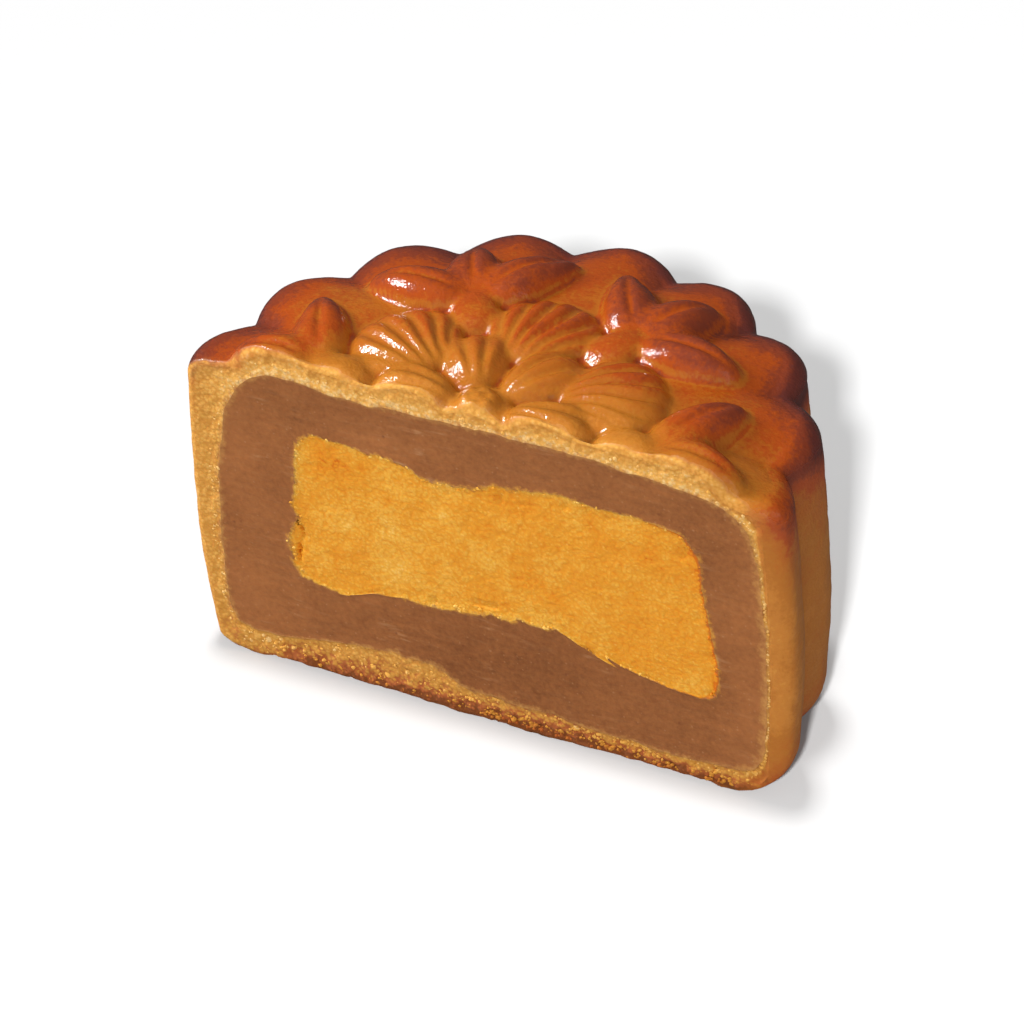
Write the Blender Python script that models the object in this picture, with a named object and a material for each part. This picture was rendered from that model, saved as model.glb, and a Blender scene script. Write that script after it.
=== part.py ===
# Half a round lava mooncake: a scalloped pastry crust pressed in a mould, a thick layer of
# sweet paste, and a flat core of set custard in the middle. It is cut upright, a little in
# front of its axis, and stands on its base with the cut face towards -Y.
# Metres, +Z up, origin at the bottom centre of the bounding box, +X along the cut face.

import math

import bmesh
import bpy
import numpy as np

MM = 0.001

# The whole cake
LOBES = 16
TIP_RADIUS = 25.0 * MM          # axis to the tip of a lobe
CREASE_DEPTH = 1.8 * MM         # how far the creases between the lobes run in
CREASE_SOFTNESS = 0.06
RIM_HEIGHT = 28.25 * MM
BELLY = 0.58 * MM               # the side swells this much at half height
BASE_TUCK = 0.54 * MM           # and draws in this much at the foot
LEAN = 0.54 * MM                # the rim stands this much to the right of the foot
CUT_BEFORE_AXIS = 1.34 * MM
LOBE_DRIFT = (0.036, -0.591, 0.0136, 1.087)   # uneven lobes: swing, phase, swing, phase in radians

# Crust; a pair gives the left and the right end of the cut
SHOULDER = 1.8 * MM
FOOT_IN = (3.6 * MM, 4.6 * MM)  # reach of the rounded foot
FOOT_UP = (1.3 * MM, 4.6 * MM)  # height of the rounded foot
DOME = 1.15 * MM                # the plain top rises this much, most of it near the rim
CREASE_DIP = 0.55 * MM          # the creases run on over the shoulder this deep
CRUST_SIDE = (2.15 * MM, 1.85 * MM)
CRUST_TOP = 0.95 * MM
CRUST_BASE = 2.35 * MM
BASE_LENS = {"x": -9.2 * MM, "reach": 8.5 * MM, "height": 1.9 * MM}     # thick place in the base

# Raised blossom on the top: rings of six forms, each a rounded cushion.
# at: place outwards and across from its ring's direction; size: half length and half width;
# tilt: turned away from its ring's direction; egg: wider (or narrower) at the outer end.
FOLD = 6
FORMS = (
    {"at": (5.5, 0.0), "size": (3.4, 2.8), "turn": 0, "tilt": 0, "egg": 0.2, "height": 1.75},
    {"at": (9.8, 0.0), "size": (4.2, 4.5), "turn": 30, "tilt": 0, "egg": 0.15, "height": 1.7},
    {"at": (12.4, 0.0), "size": (3.0, 2.0), "turn": 0, "tilt": 0, "egg": -0.3, "height": 1.2},
    {"at": (15.9, 4.1), "size": (4.4, 2.3), "turn": 0, "tilt": 62, "egg": -0.3, "height": 1.9},
    {"at": (15.9, -4.1), "size": (4.4, 2.3), "turn": 0, "tilt": -62, "egg": -0.3, "height": 1.9},
    {"at": (17.7, 0.0), "size": (3.6, 2.4), "turn": 0, "tilt": 0, "egg": -0.3, "height": 1.95},
)
BOSS = {"size": 2.7, "height": 1.7}

# Paste
GAP = 0.3 * MM
PASTE_CORNER_IN = (5.0 * MM, 4.0 * MM)      # rounded upper corner, left and right end of the cut
PASTE_CORNER_UP = (8.5 * MM, 5.5 * MM)
PASTE_FOOT = 1.2 * MM
PASTE_SCALLOP = 0.45            # share of the crease depth that the paste shows

# Custard core
CORE_X = 1.3 * MM
CORE_RADIUS = 17.9 * MM
CORE_TAPER = 1.5 * MM           # narrower at the top by this much all round
CORE_LOW = 8.7 * MM
CORE_HIGH = 23.9 * MM
CORE_CORNER = 1.0 * MM
CORE_ARCH = {"x": 3.4 * MM, "left": 17.0 * MM, "right": 8.2 * MM, "height": 2.5 * MM}
CORE_SAG = {"x": -3.7 * MM, "reach": 4.0 * MM, "back": 9.0 * MM, "depth": 1.5 * MM}
CORE_RAGGED = 0.25 * MM

# Steps of the surfaces
CRUST_STEPS = 12                # round each lobe
PASTE_STEPS = 4
CORE_STEPS = 36
FOOT_STEPS = 4
SIDE_STEPS = 5
SHOULDER_STEPS = 5
FORM_STEPS = 14
TRIM = 1.0 * MM                 # the crust is made this much too long and then cut

BACK_REACH = TIP_RADIUS + BELLY
AXIS_Y = -(BACK_REACH - CUT_BEFORE_AXIS) / 2
CUT_Y = -CUT_BEFORE_AXIS        # measured from the axis


def drifted(angle):
    swing, phase, swing2, phase2 = LOBE_DRIFT
    return angle + swing * np.sin(angle + phase) + swing2 * np.sin(2 * angle + phase2)


def scallop(angle):
    """1 at the tip of a lobe, 0 in a crease."""
    wave = np.abs(np.cos(LOBES / 2 * drifted(angle)))
    soft = CREASE_SOFTNESS
    return (np.sqrt(wave ** 2 + soft ** 2) - soft) / (math.sqrt(1 + soft ** 2) - soft)


def outline(angle, share=1.0):
    return TIP_RADIUS - share * CREASE_DEPTH * (1 - scallop(angle))


def side_radius(angle, z, share=1.0):
    t = z / RIM_HEIGHT
    tuck = BASE_TUCK * np.clip(1 - t / 0.45, 0, 1) ** 2
    return outline(angle, share) + BELLY * np.sin(math.pi * np.clip(t, 0, 1)) - tuck


def dome(t):
    """Rise of the plain top at the share t of the way from the axis to the shoulder."""
    return DOME * (1 - np.clip(t, 0, 1) ** 4) ** 1.2


def plain_top(x, y):
    """The top without the blossom, in upright coordinates from the axis."""
    angle = np.arctan2(y, x)
    t = np.clip(np.hypot(x, y) / (outline(angle) - SHOULDER), 0, 1)
    dip = CREASE_DIP * (1 - scallop(angle)) * np.exp((t - 1) / 0.07)
    return RIM_HEIGHT + dome(t) - dip


def base_top(x, y):
    """Upper side of the crust's base, with its one thick place."""
    q = np.hypot(x - BASE_LENS["x"], (y - CUT_Y) * 0.6) / BASE_LENS["reach"]
    return CRUST_BASE + BASE_LENS["height"] * np.clip(1 - q ** 2, 0, 1) ** 0.8


def between(pair, angle):
    """A size that changes from the left end of the cut to the right end."""
    right = 0.5 * (1 + np.cos(angle))
    return pair[0] + (pair[1] - pair[0]) * right ** 2


def around(steps):
    """Angles from the right end of the cut to the left end, with one on every crease."""
    fine = np.linspace(-0.1, math.pi + 0.1, 4001)
    creases = (np.arange(LOBES // 2) + 0.5) * 2 * math.pi / LOBES
    creases = np.interp(creases, drifted(fine), fine)
    end = math.asin(CUT_BEFORE_AXIS / TIP_RADIUS)
    knots = np.concatenate([[-end], creases, [math.pi + end]])
    angles = [knots[:1]]
    for k in range(len(knots) - 1):
        here = steps // 2 if k in (0, len(knots) - 2) else steps
        angles.append(np.linspace(knots[k], knots[k + 1], here + 1)[1:])
    return np.concatenate(angles)


def ring(angle, radius, z, cut=CUT_Y):
    """One level of a body: a curve round the axis whose two ends lie on the cut."""
    radius = np.broadcast_to(radius, angle.shape)
    x = radius * np.cos(angle)
    y = radius * np.sin(angle)
    for end, sign in ((0, 1), (-1, -1)):
        x[end] = sign * math.sqrt(radius[end] ** 2 - cut ** 2)
        y[end] = cut
    return np.column_stack([x, y, np.broadcast_to(z, angle.shape)])


def inward(edge, shares, height_at, halved=()):
    """Rings from an edge in to the middle of the cut, with half the points from some on."""
    middle = np.array([0.0, edge[0, 1]])
    rings = []
    for share in shares:
        if share in halved:
            edge = edge[::2]
        xy = middle + share * (edge[:, :2] - middle)
        rings.append(np.column_stack([xy, height_at(xy[:, 0], xy[:, 1])]))
    return rings


def placed(points):
    """From upright coordinates at the axis to the part's own frame."""
    x, y, z = points
    return x + LEAN * (z / RIM_HEIGHT - 0.5), y + AXIS_Y, z


def half_body(rings, low, high, front_reach=0.0):
    """A closed half body from rings between its lowest and highest middle points."""
    bm = bmesh.new()
    rows = [[bm.verts.new(placed(p)) for p in points] for points in rings]
    low, high = bm.verts.new(placed(low)), bm.verts.new(placed(high))
    for a, b in zip(rows, rows[1:]):
        if len(a) == len(b):
            for i in range(len(a) - 1):
                bm.faces.new((a[i], a[i + 1], b[i + 1], b[i]))
        else:
            for i in range(len(b) - 1):
                bm.faces.new((a[2 * i], a[2 * i + 1], b[i]))
                bm.faces.new((a[2 * i + 1], b[i + 1], b[i]))
                bm.faces.new((a[2 * i + 1], a[2 * i + 2], b[i + 1]))
    for row, pole in ((rows[0], low), (rows[-1], high)):
        for i in range(len(row) - 1):
            bm.faces.new((row[i], row[i + 1], pole))
    edge = [low] + [row[0] for row in rows] + [high] + [row[-1] for row in reversed(rows)]
    front = bm.faces.new(edge)
    if front_reach:
        grown = bmesh.ops.extrude_face_region(bm, geom=[front])["geom"]
        verts = [item for item in grown if isinstance(item, bmesh.types.BMVert)]
        bmesh.ops.translate(bm, verts=verts, vec=(0, -front_reach, 0))
        bm.faces.remove(front)
    bmesh.ops.recalc_face_normals(bm, faces=bm.faces[:])
    return bm


def new_object(name, bm, material, collection=None):
    mesh = bpy.data.meshes.new(name)
    bm.to_mesh(mesh)
    bm.free()
    mesh.shade_smooth()
    mesh.set_sharp_from_angle(angle=math.radians(35))
    mesh.materials.append(material)
    obj = bpy.data.objects.new(name, mesh)
    (collection or bpy.context.collection).objects.link(obj)
    return obj


def crust_body():
    angle = around(CRUST_STEPS)
    cut = CUT_Y - TRIM
    foot_in, foot_up = between(FOOT_IN, angle), between(FOOT_UP, angle)
    rings = []
    for k in range(FOOT_STEPS + 1):
        turn = k / FOOT_STEPS * math.pi / 2
        z = foot_up * (1 - math.cos(turn))
        rings.append(ring(angle, side_radius(angle, z) - foot_in * (1 - math.sin(turn)), z, cut))
    for k in range(1, SIDE_STEPS + 1):
        z = foot_up + (RIM_HEIGHT - SHOULDER - foot_up) * k / SIDE_STEPS
        rings.append(ring(angle, side_radius(angle, z), z, cut))
    for k in range(1, SHOULDER_STEPS + 1):
        turn = k / SHOULDER_STEPS * math.pi / 2
        z = RIM_HEIGHT - SHOULDER * (1 - math.sin(turn))
        dip = CREASE_DIP * (1 - scallop(angle)) * math.sin(turn) ** 2
        reach = side_radius(angle, z) - SHOULDER * (1 - math.cos(turn))
        rings.append(ring(angle, reach, z - dip, cut))
    rings += inward(rings[-1], (0.965, 0.92, 0.85, 0.74, 0.6, 0.42, 0.2), plain_top, (0.85, 0.42))
    return half_body(rings, (0.0, cut, 0.0), (0.0, cut, float(plain_top(0.0, cut))))


def raised_form(at, size, height, turn=0.0, tilt=0.0, egg=0.0):
    """A cushion standing on the plain top, its foot sunk into the crust."""
    turn, tilt = math.radians(turn), math.radians(tilt)
    round_ = np.arange(FORM_STEPS) * 2 * math.pi / FORM_STEPS
    levels = ((1.0, -0.5), (1.0, 0.0), (0.97, None), (0.85, None), (0.6, None), (0.3, None))
    bm = bmesh.new()
    rows = []
    for q, rise in levels:
        if rise is None:
            rise = height * (1 - q ** 2.4) ** 0.62
        a = q * size[0] * np.cos(round_)
        b = q * size[1] * np.sin(round_) * (1 + egg * np.cos(round_))
        out = at[0] + a * math.cos(tilt) - b * math.sin(tilt)
        across = at[1] + a * math.sin(tilt) + b * math.cos(tilt)
        x = (out * math.cos(turn) - across * math.sin(turn)) * MM
        y = (out * math.sin(turn) + across * math.cos(turn)) * MM
        z = plain_top(x, y) + rise * MM
        rows.append([bm.verts.new(placed(p)) for p in zip(x, y, z)])
    for a, b in zip(rows, rows[1:]):
        for i in range(FORM_STEPS):
            j = (i + 1) % FORM_STEPS
            bm.faces.new((a[i], a[j], b[j], b[i]))
    bm.faces.new(rows[0])
    peak_x, peak_y = np.mean([v.co.x for v in rows[-1]]), np.mean([v.co.y for v in rows[-1]])
    peak_z = max(v.co.z for v in rows[-1]) + 0.03 * height * MM
    peak = bm.verts.new((peak_x, peak_y, peak_z))
    for i in range(FORM_STEPS):
        bm.faces.new((rows[-1][i], rows[-1][(i + 1) % FORM_STEPS], peak))
    bmesh.ops.recalc_face_normals(bm, faces=bm.faces[:])
    return bm


def raise_blossom(crust, material):
    """Joins the raised forms to the crust; those wholly in front of the cut are left out."""
    forms = bpy.data.collections.new("blossom")
    bpy.context.scene.collection.children.link(forms)
    size = (BOSS["size"], BOSS["size"])
    new_object("boss", raised_form((0.0, 0.0), size, BOSS["height"]), material, forms)
    for number, form in enumerate(FORMS):
        for k in range(FOLD):
            turn = form["turn"] + k * 360 / FOLD
            bm = raised_form(form["at"], form["size"], form["height"], turn, form["tilt"], form["egg"])
            if max(v.co.y for v in bm.verts) < CUT_Y + AXIS_Y:
                bm.free()
                continue
            new_object(f"form_{number}_{k}", bm, material, forms)
    join = crust.modifiers.new("blossom", "BOOLEAN")
    join.operation = "UNION"
    join.solver = "EXACT"
    join.operand_type = "COLLECTION"
    join.collection = forms
    bpy.context.view_layer.objects.active = crust
    bpy.ops.object.modifier_apply(modifier=join.name)
    for obj in list(forms.objects):
        bpy.data.objects.remove(obj)
    bpy.data.collections.remove(forms)


def knife_body():
    """A block in front of the cut."""
    bm = bmesh.new()
    bmesh.ops.create_cube(bm, size=1.0)
    depth = 14 * MM
    bmesh.ops.scale(bm, verts=bm.verts, vec=(3 * TIP_RADIUS, depth, 3 * TIP_RADIUS))
    bmesh.ops.translate(bm, verts=bm.verts, vec=(0, CUT_Y + AXIS_Y - depth / 2, TIP_RADIUS))
    return bm


def paste_body(grow=0.0, front_reach=0.0):
    angle = around(PASTE_STEPS)
    corner_in, corner_up = between(PASTE_CORNER_IN, angle), between(PASTE_CORNER_UP, angle)
    wall = between(CRUST_SIDE, angle) - grow
    low = CRUST_BASE + PASTE_FOOT
    ceiling = RIM_HEIGHT - CRUST_TOP
    shoulder_x = side_radius(angle, ceiling - corner_up, PASTE_SCALLOP) - wall - corner_in
    high = ceiling + dome(shoulder_x / (TIP_RADIUS - SHOULDER)) - corner_up
    rings = []
    for k in range(4):
        turn = k / 3 * math.pi / 2
        reach = side_radius(angle, low, PASTE_SCALLOP) - wall - PASTE_FOOT * (1 - math.sin(turn))
        rings.append(ring(angle, reach, low - (PASTE_FOOT + grow) * math.cos(turn)))
    for k in range(1, 4):
        z = low + (high - low) * k / 3
        rings.append(ring(angle, side_radius(angle, z, PASTE_SCALLOP) - wall, z))
    for k in range(1, 5):
        turn = k / 4 * math.pi / 2
        reach = side_radius(angle, high, PASTE_SCALLOP) - wall - corner_in * (1 - math.cos(turn))
        rings.append(ring(angle, reach, high + (corner_up + grow) * math.sin(turn)))

    def upper(x, y):
        return ceiling + dome(np.hypot(x, y) / (TIP_RADIUS - SHOULDER)) + grow

    def lower(x, y):
        return base_top(x, y) - grow

    tops = inward(rings[-1], (0.92, 0.8, 0.65, 0.48, 0.3, 0.15), upper, (0.48,))
    lows = inward(rings[0], (0.2, 0.4, 0.58, 0.75, 0.9), lower)
    middle_low = (0.0, CUT_Y, float(lower(0.0, CUT_Y)))
    middle_high = (0.0, CUT_Y, float(upper(0.0, CUT_Y)))
    return half_body(lows + rings + tops, middle_low, middle_high, front_reach)


def core_body(grow=0.0, front_reach=0.0):
    angle = np.linspace(0, math.pi, CORE_STEPS + 1)
    ragged = CORE_RAGGED * (np.sin(7 * angle + 0.6) + 0.6 * np.sin(13 * angle + 2.0))
    low, high = CORE_LOW - grow, CORE_HIGH + grow

    def underside(x, y):
        width = np.where(x < CORE_ARCH["x"], CORE_ARCH["left"], CORE_ARCH["right"])
        q = np.hypot((x - CORE_ARCH["x"]) / width, (y - CUT_Y) / CORE_ARCH["left"])
        return low + CORE_ARCH["height"] * np.clip(1 - q ** 2, 0, 1)

    def upper(x, y):
        q = np.hypot((x - CORE_SAG["x"]) / CORE_SAG["reach"], (y - CUT_Y) / CORE_SAG["back"])
        return high - CORE_SAG["depth"] * np.exp(-q ** 2)

    def level(z, inset, share=1.0, height_at=None):
        taper = CORE_TAPER * (z - CORE_LOW) / (CORE_HIGH - CORE_LOW)
        reach = share * (CORE_RADIUS + ragged + grow - taper - inset)
        x = CORE_X + reach * np.cos(angle)
        y = CUT_Y + np.maximum(reach * np.sin(angle), 0)
        y[-1] = CUT_Y
        return np.column_stack([x, y, height_at(x, y) if height_at else np.full_like(x, z)])

    rings = [level(low, CORE_CORNER, share, underside) for share in (0.3, 0.6, 0.85)]
    for k in range(4):
        turn = k / 3 * math.pi / 2
        rings.append(level(low + CORE_CORNER * (1 - math.cos(turn)), CORE_CORNER * (1 - math.sin(turn))))
    rings.append(level((low + high) / 2, 0.0))
    for k in range(3, -1, -1):
        turn = k / 3 * math.pi / 2
        rings.append(level(high - CORE_CORNER * (1 - math.cos(turn)), CORE_CORNER * (1 - math.sin(turn))))
    rings += [level(high, CORE_CORNER, share, upper) for share in (0.85, 0.6, 0.3)]
    middle_low = (CORE_X, CUT_Y, float(underside(CORE_X, CUT_Y)))
    middle_high = (CORE_X, CUT_Y, float(upper(CORE_X, CUT_Y)))
    return half_body(rings, middle_low, middle_high, front_reach)


def food(name, color, roughness):
    material = bpy.data.materials.new(name)
    material.use_nodes = True
    shader = material.node_tree.nodes["Principled BSDF"]
    shader.inputs["Base Color"].default_value = (*color, 1.0)
    shader.inputs["Roughness"].default_value = roughness
    shader.inputs["Metallic"].default_value = 0.0
    return material


def take_away(obj, cutter):
    cutter.hide_render = True
    cutter.display_type = "WIRE"
    cut = obj.modifiers.new("without_" + cutter.name, "BOOLEAN")
    cut.operation = "DIFFERENCE"
    cut.solver = "EXACT"
    cut.object = cutter


for old in list(bpy.data.objects):
    bpy.data.objects.remove(old)

crust_color = food("crust", (0.50, 0.19, 0.045), 0.40)
paste_color = food("paste", (0.36, 0.17, 0.085), 0.60)
custard_color = food("custard", (0.83, 0.40, 0.05), 0.55)

crust = new_object("crust", crust_body(), crust_color)
raise_blossom(crust, crust_color)
take_away(crust, new_object("knife", knife_body(), crust_color))
take_away(crust, new_object("paste_room", paste_body(GAP, 3 * MM), paste_color))

paste = new_object("paste", paste_body(), paste_color)
take_away(paste, new_object("custard_room", core_body(GAP, 3 * MM), custard_color))

custard = new_object("custard", core_body(), custard_color)
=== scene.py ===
import bmesh
import bpy
import math
import numpy as np
from mathutils import Matrix, Vector


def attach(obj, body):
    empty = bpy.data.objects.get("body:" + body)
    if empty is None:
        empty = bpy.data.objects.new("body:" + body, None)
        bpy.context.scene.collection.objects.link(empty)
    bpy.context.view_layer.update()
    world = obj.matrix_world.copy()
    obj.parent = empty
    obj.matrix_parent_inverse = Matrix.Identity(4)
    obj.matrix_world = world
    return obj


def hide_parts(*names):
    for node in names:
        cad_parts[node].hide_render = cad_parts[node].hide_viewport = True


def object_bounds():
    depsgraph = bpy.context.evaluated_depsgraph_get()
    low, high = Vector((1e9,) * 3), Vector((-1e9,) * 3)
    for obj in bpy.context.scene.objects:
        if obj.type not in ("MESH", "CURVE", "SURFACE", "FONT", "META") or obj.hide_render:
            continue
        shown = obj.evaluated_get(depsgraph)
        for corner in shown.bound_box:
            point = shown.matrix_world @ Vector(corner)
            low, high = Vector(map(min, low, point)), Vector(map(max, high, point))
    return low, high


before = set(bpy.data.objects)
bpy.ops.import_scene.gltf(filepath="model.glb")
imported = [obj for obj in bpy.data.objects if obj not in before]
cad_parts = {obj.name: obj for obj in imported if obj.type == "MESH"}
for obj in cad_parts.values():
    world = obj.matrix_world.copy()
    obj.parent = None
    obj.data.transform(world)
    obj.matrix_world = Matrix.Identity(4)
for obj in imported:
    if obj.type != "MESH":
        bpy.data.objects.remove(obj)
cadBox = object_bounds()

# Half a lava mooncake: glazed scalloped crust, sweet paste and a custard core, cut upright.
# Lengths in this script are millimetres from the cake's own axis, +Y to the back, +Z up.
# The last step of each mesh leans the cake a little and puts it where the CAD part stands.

metre = 0.001

cake = {"lobes": 16, "tipRadius": 25.0, "creaseDepth": 1.8, "creaseSoftness": 0.06,
        "rimHeight": 28.25, "belly": 0.58, "baseTuck": 0.54, "lean": 0.54, "cutBeforeAxis": 1.34,
        "drift": (0.036, -0.591, 0.0136, 1.087)}
cutY = -cake["cutBeforeAxis"]
axisY = cadBox[0][1] / metre - cutY      # the cut face lies on the front of the CAD box
loopCentre = 15.0                        # height that the cut's outlines are measured round


# Noise and small helpers

def lattice(ix, iy, iz, seed):
    # a fixed pseudo-random value from 0 to 1 for each whole-number corner
    h = (ix * 73856093) ^ (iy * 19349663) ^ (iz * 83492791) ^ (seed * 2654435761)
    h = (h ^ (h >> 13)) * 1274126177
    h = h ^ (h >> 16)
    return (h & 0xFFFF) / 65535.0


def noise(x, y, z, size, seed=0):
    # value noise from -1 to 1: corner values blended with 3t^2 - 2t^3 along each direction
    x, y, z = np.broadcast_arrays(x, y, z)
    cell, part = [], []
    for c in (x, y, z):
        whole = np.floor(c / size)
        t = c / size - whole
        cell.append(whole.astype(np.int64))
        part.append(t * t * (3 - 2 * t))
    total = 0.0
    for i in (0, 1):
        for j in (0, 1):
            for k in (0, 1):
                w = (part[0] if i else 1 - part[0]) * (part[1] if j else 1 - part[1])
                w = w * (part[2] if k else 1 - part[2])
                total = total + w * lattice(cell[0] + i, cell[1] + j, cell[2] + k, seed)
    return total * 2 - 1


def layered(x, y, z, size, layers, seed=0):
    # noise with finer layers added, each half as large and half as strong
    total, weight = 0.0, 0.0
    for n in range(layers):
        total = total + noise(x, y, z, size / 2 ** n, seed + 17 * n) / 2 ** n
        weight += 1 / 2 ** n
    return total / weight


def ramp(value, low, high):
    t = np.clip((value - low) / (high - low), 0, 1)
    return t * t * (3 - 2 * t)


def onCut(x, z, size, layers, seed):
    # layered noise over the face of the cut
    return layered(x, 0.0, z, size, layers, seed)


def groove(distance, width=1.0):
    return np.exp(-(distance / width) ** 2)


def spot(x, z, at, size):
    # 1 in the middle of an oval on the cut, fading to 0 round it
    return groove(np.hypot((x - at[0]) / size[0], (z - at[1]) / size[1]))


def fading(distance, width):
    # 1 at an edge and on its far side, falling away with the distance from it
    return np.exp(-np.clip(distance, 0, 30) / width)


def smoothMax(a, b, soft):
    # the larger of two heights with a fillet where they meet
    h = np.clip(0.5 + 0.5 * (b - a) / soft, 0, 1)
    return a * (1 - h) + b * h + soft * h * (1 - h)


# Outline and side of the cake, the same as in the solids

def drifted(angle):
    swing, phase, swing2, phase2 = cake["drift"]
    return angle + swing * np.sin(angle + phase) + swing2 * np.sin(2 * angle + phase2)


def scallop(angle):
    # 1 at the tip of a lobe, 0 in a crease
    wave = np.abs(np.cos(cake["lobes"] / 2 * drifted(angle)))
    soft = cake["creaseSoftness"]
    return (np.sqrt(wave ** 2 + soft ** 2) - soft) / (math.sqrt(1 + soft ** 2) - soft)


def sideRadius(angle, z, share=1.0):
    # tip radius less the crease, plus a half sine of belly, less the tuck at the foot
    t = z / cake["rimHeight"]
    tuck = cake["baseTuck"] * np.clip(1 - t / 0.45, 0, 1) ** 2
    outline = cake["tipRadius"] - share * cake["creaseDepth"] * (1 - scallop(angle))
    return outline + cake["belly"] * np.sin(math.pi * np.clip(t, 0, 1)) - tuck


def dome(t):
    # rise of the plain top at the share t of the way from the axis to the shoulder
    return crustSizes["dome"] * (1 - np.clip(t, 0, 1) ** 6) ** 1.7


def between(pair, angle):
    # a size that changes from the left end of the cut to the right end
    return pair[0] + (pair[1] - pair[0]) * (0.5 * (1 + np.cos(angle))) ** 2


def around(steps):
    # angles from the right end of the cut to the left end, with one on every crease
    fine = np.linspace(-0.1, math.pi + 0.1, 4001)
    creases = (np.arange(cake["lobes"] // 2) + 0.5) * 2 * math.pi / cake["lobes"]
    creases = np.interp(creases, drifted(fine), fine)
    end = math.asin(cake["cutBeforeAxis"] / cake["tipRadius"])
    knots = np.concatenate([[-end], creases, [math.pi + end]])
    angles = [knots[:1]]
    last = len(knots) - 2
    for k in range(last + 1):
        share = np.linspace(0, 1, (round(steps * 0.72) if k in (0, last) else steps) + 1)[1:]
        if k == 0:
            share = share ** 1.5                  # closer together next to the cut
        elif k == last:
            share = 1 - (1 - share) ** 1.5
        angles.append(knots[k] + (knots[k + 1] - knots[k]) * share)
    return np.concatenate(angles)


def ringAt(angle, radius, z):
    # one level: a curve round the axis whose two ends lie on the cut
    radius = np.broadcast_to(radius, angle.shape)
    x = radius * np.cos(angle)
    y = radius * np.sin(angle)
    ends = np.sqrt(radius[[0, -1]] ** 2 - cutY ** 2)
    x[0], x[-1] = ends[0], -ends[1]
    y[0] = y[-1] = cutY
    return np.column_stack([x, y, np.broadcast_to(z, angle.shape)])


# The raised blossom

crustSizes = {"shoulder": 1.8, "footIn": (3.6, 4.6), "footUp": (1.3, 4.6), "dome": 1.15,
              "creaseDip": 0.55, "dent": 0.07, "pock": 0.05, "streak": 0.04, "hollow": 0.18,
              "smallHollow": 0.14, "leftHollow": 0.5, "crumb": 0.06, "baseCrumb": 0.08,
              "behindCut": 0.3, "steps": 36, "undersideRows": 60, "footRows": 12, "sideRows": 62,
              "shoulderRows": 14, "topRows": 132, "bandRows": 24, "cavitySteps": 2}

blossom = {
    "fold": 6, "fillet": 0.42, "leafFillet": 0.75, "waver": 0.25, "level": 0.97,
    "rounding": 0.24, "fall": 2.6,
    "boss": {"size": 2.7, "height": 1.7, "ringAt": 1.78, "ringDepth": 0.34, "seed": 0.44},
    "forms": (
        {"kind": "petal", "at": (5.5, 0.0), "size": (3.4, 2.8), "turn": 0, "tilt": 0,
         "egg": 0.2, "height": 1.75},
        {"kind": "shell", "at": (9.8, 0.0), "size": (4.2, 4.5), "turn": 30, "tilt": 0,
         "egg": 0.15, "height": 1.7},
        {"kind": "plain", "at": (12.4, 0.0), "size": (3.0, 2.0), "turn": 0, "tilt": 0,
         "egg": -0.3, "height": 1.2},
        {"kind": "leaf", "at": (15.9, 4.1), "size": (4.4, 2.3), "turn": 0, "tilt": 62,
         "egg": -0.3, "height": 1.9},
        {"kind": "leaf", "at": (15.9, -4.1), "size": (4.4, 2.3), "turn": 0, "tilt": -62,
         "egg": -0.3, "height": 1.9},
        {"kind": "leaf", "at": (17.7, 0.0), "size": (3.6, 2.4), "turn": 0, "tilt": 0,
         "egg": -0.3, "height": 1.95},
    ),
}


def strands(across, count):
    # rounded ridges side by side: 1 on a ridge, 0 in the valley between two
    wave = np.sin(across * count * math.pi / 2 + (0 if count % 2 == 0 else math.pi / 2))
    return ((wave ** 2 + 0.03) ** 0.3 - 0.03 ** 0.3) / (1.03 ** 0.3 - 0.03 ** 0.3)


def carving(kind, along, b, width):
    # share of the height that the carved lines take away
    inner = ramp(along, -1.0, -0.6)
    if kind == "shell":
        fan = b / (width * (0.42 + 0.5 * ramp(along, -1.0, 0.5)))
        fan = fan + 0.10 * np.sin(2.2 * along + 0.5)
        return 0.36 * (1 - strands(fan, 5)) * inner
    if kind == "petal":
        fan = b / (width * (0.5 + 0.42 * ramp(along, -1.0, 0.6)))
        return 0.26 * (1 - strands(fan, 3)) * inner
    if kind == "leaf":
        return 0.2 * groove(b, 0.26) * ramp(along, -0.9, -0.4) * (1 - ramp(along, 0.5, 0.9))
    return 0.0 * along


def pillow(q):
    # (1 - q^2.4)^0.62, where q runs from 0 in the middle of a form to 1 on its rim
    return np.clip(1 - np.clip(q, 0, 1) ** 2.4, 0, 1) ** 0.62


def cushion(x, y, form, turn):
    # height of one form: a pillow inside its egg-shaped rim, falling away outside
    turn, tilt = math.radians(turn), math.radians(form["tilt"])
    out = x * math.cos(turn) + y * math.sin(turn) - form["at"][0]
    across = y * math.cos(turn) - x * math.sin(turn) - form["at"][1]
    a = out * math.cos(tilt) + across * math.sin(tilt)
    b = across * math.cos(tilt) - out * math.sin(tilt)
    along = a / form["size"][0]
    width = form["size"][1] * (1 + form["egg"] * np.clip(along, -1, 1))
    q = np.hypot(along, b / width)
    body = form["height"] * pillow(q)
    body = body * (1 - carving(form["kind"], np.clip(along, -1, 1), b, width))
    return np.where(q < 1, body, blossom["fall"] * (1 - q) * min(form["size"]))


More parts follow.
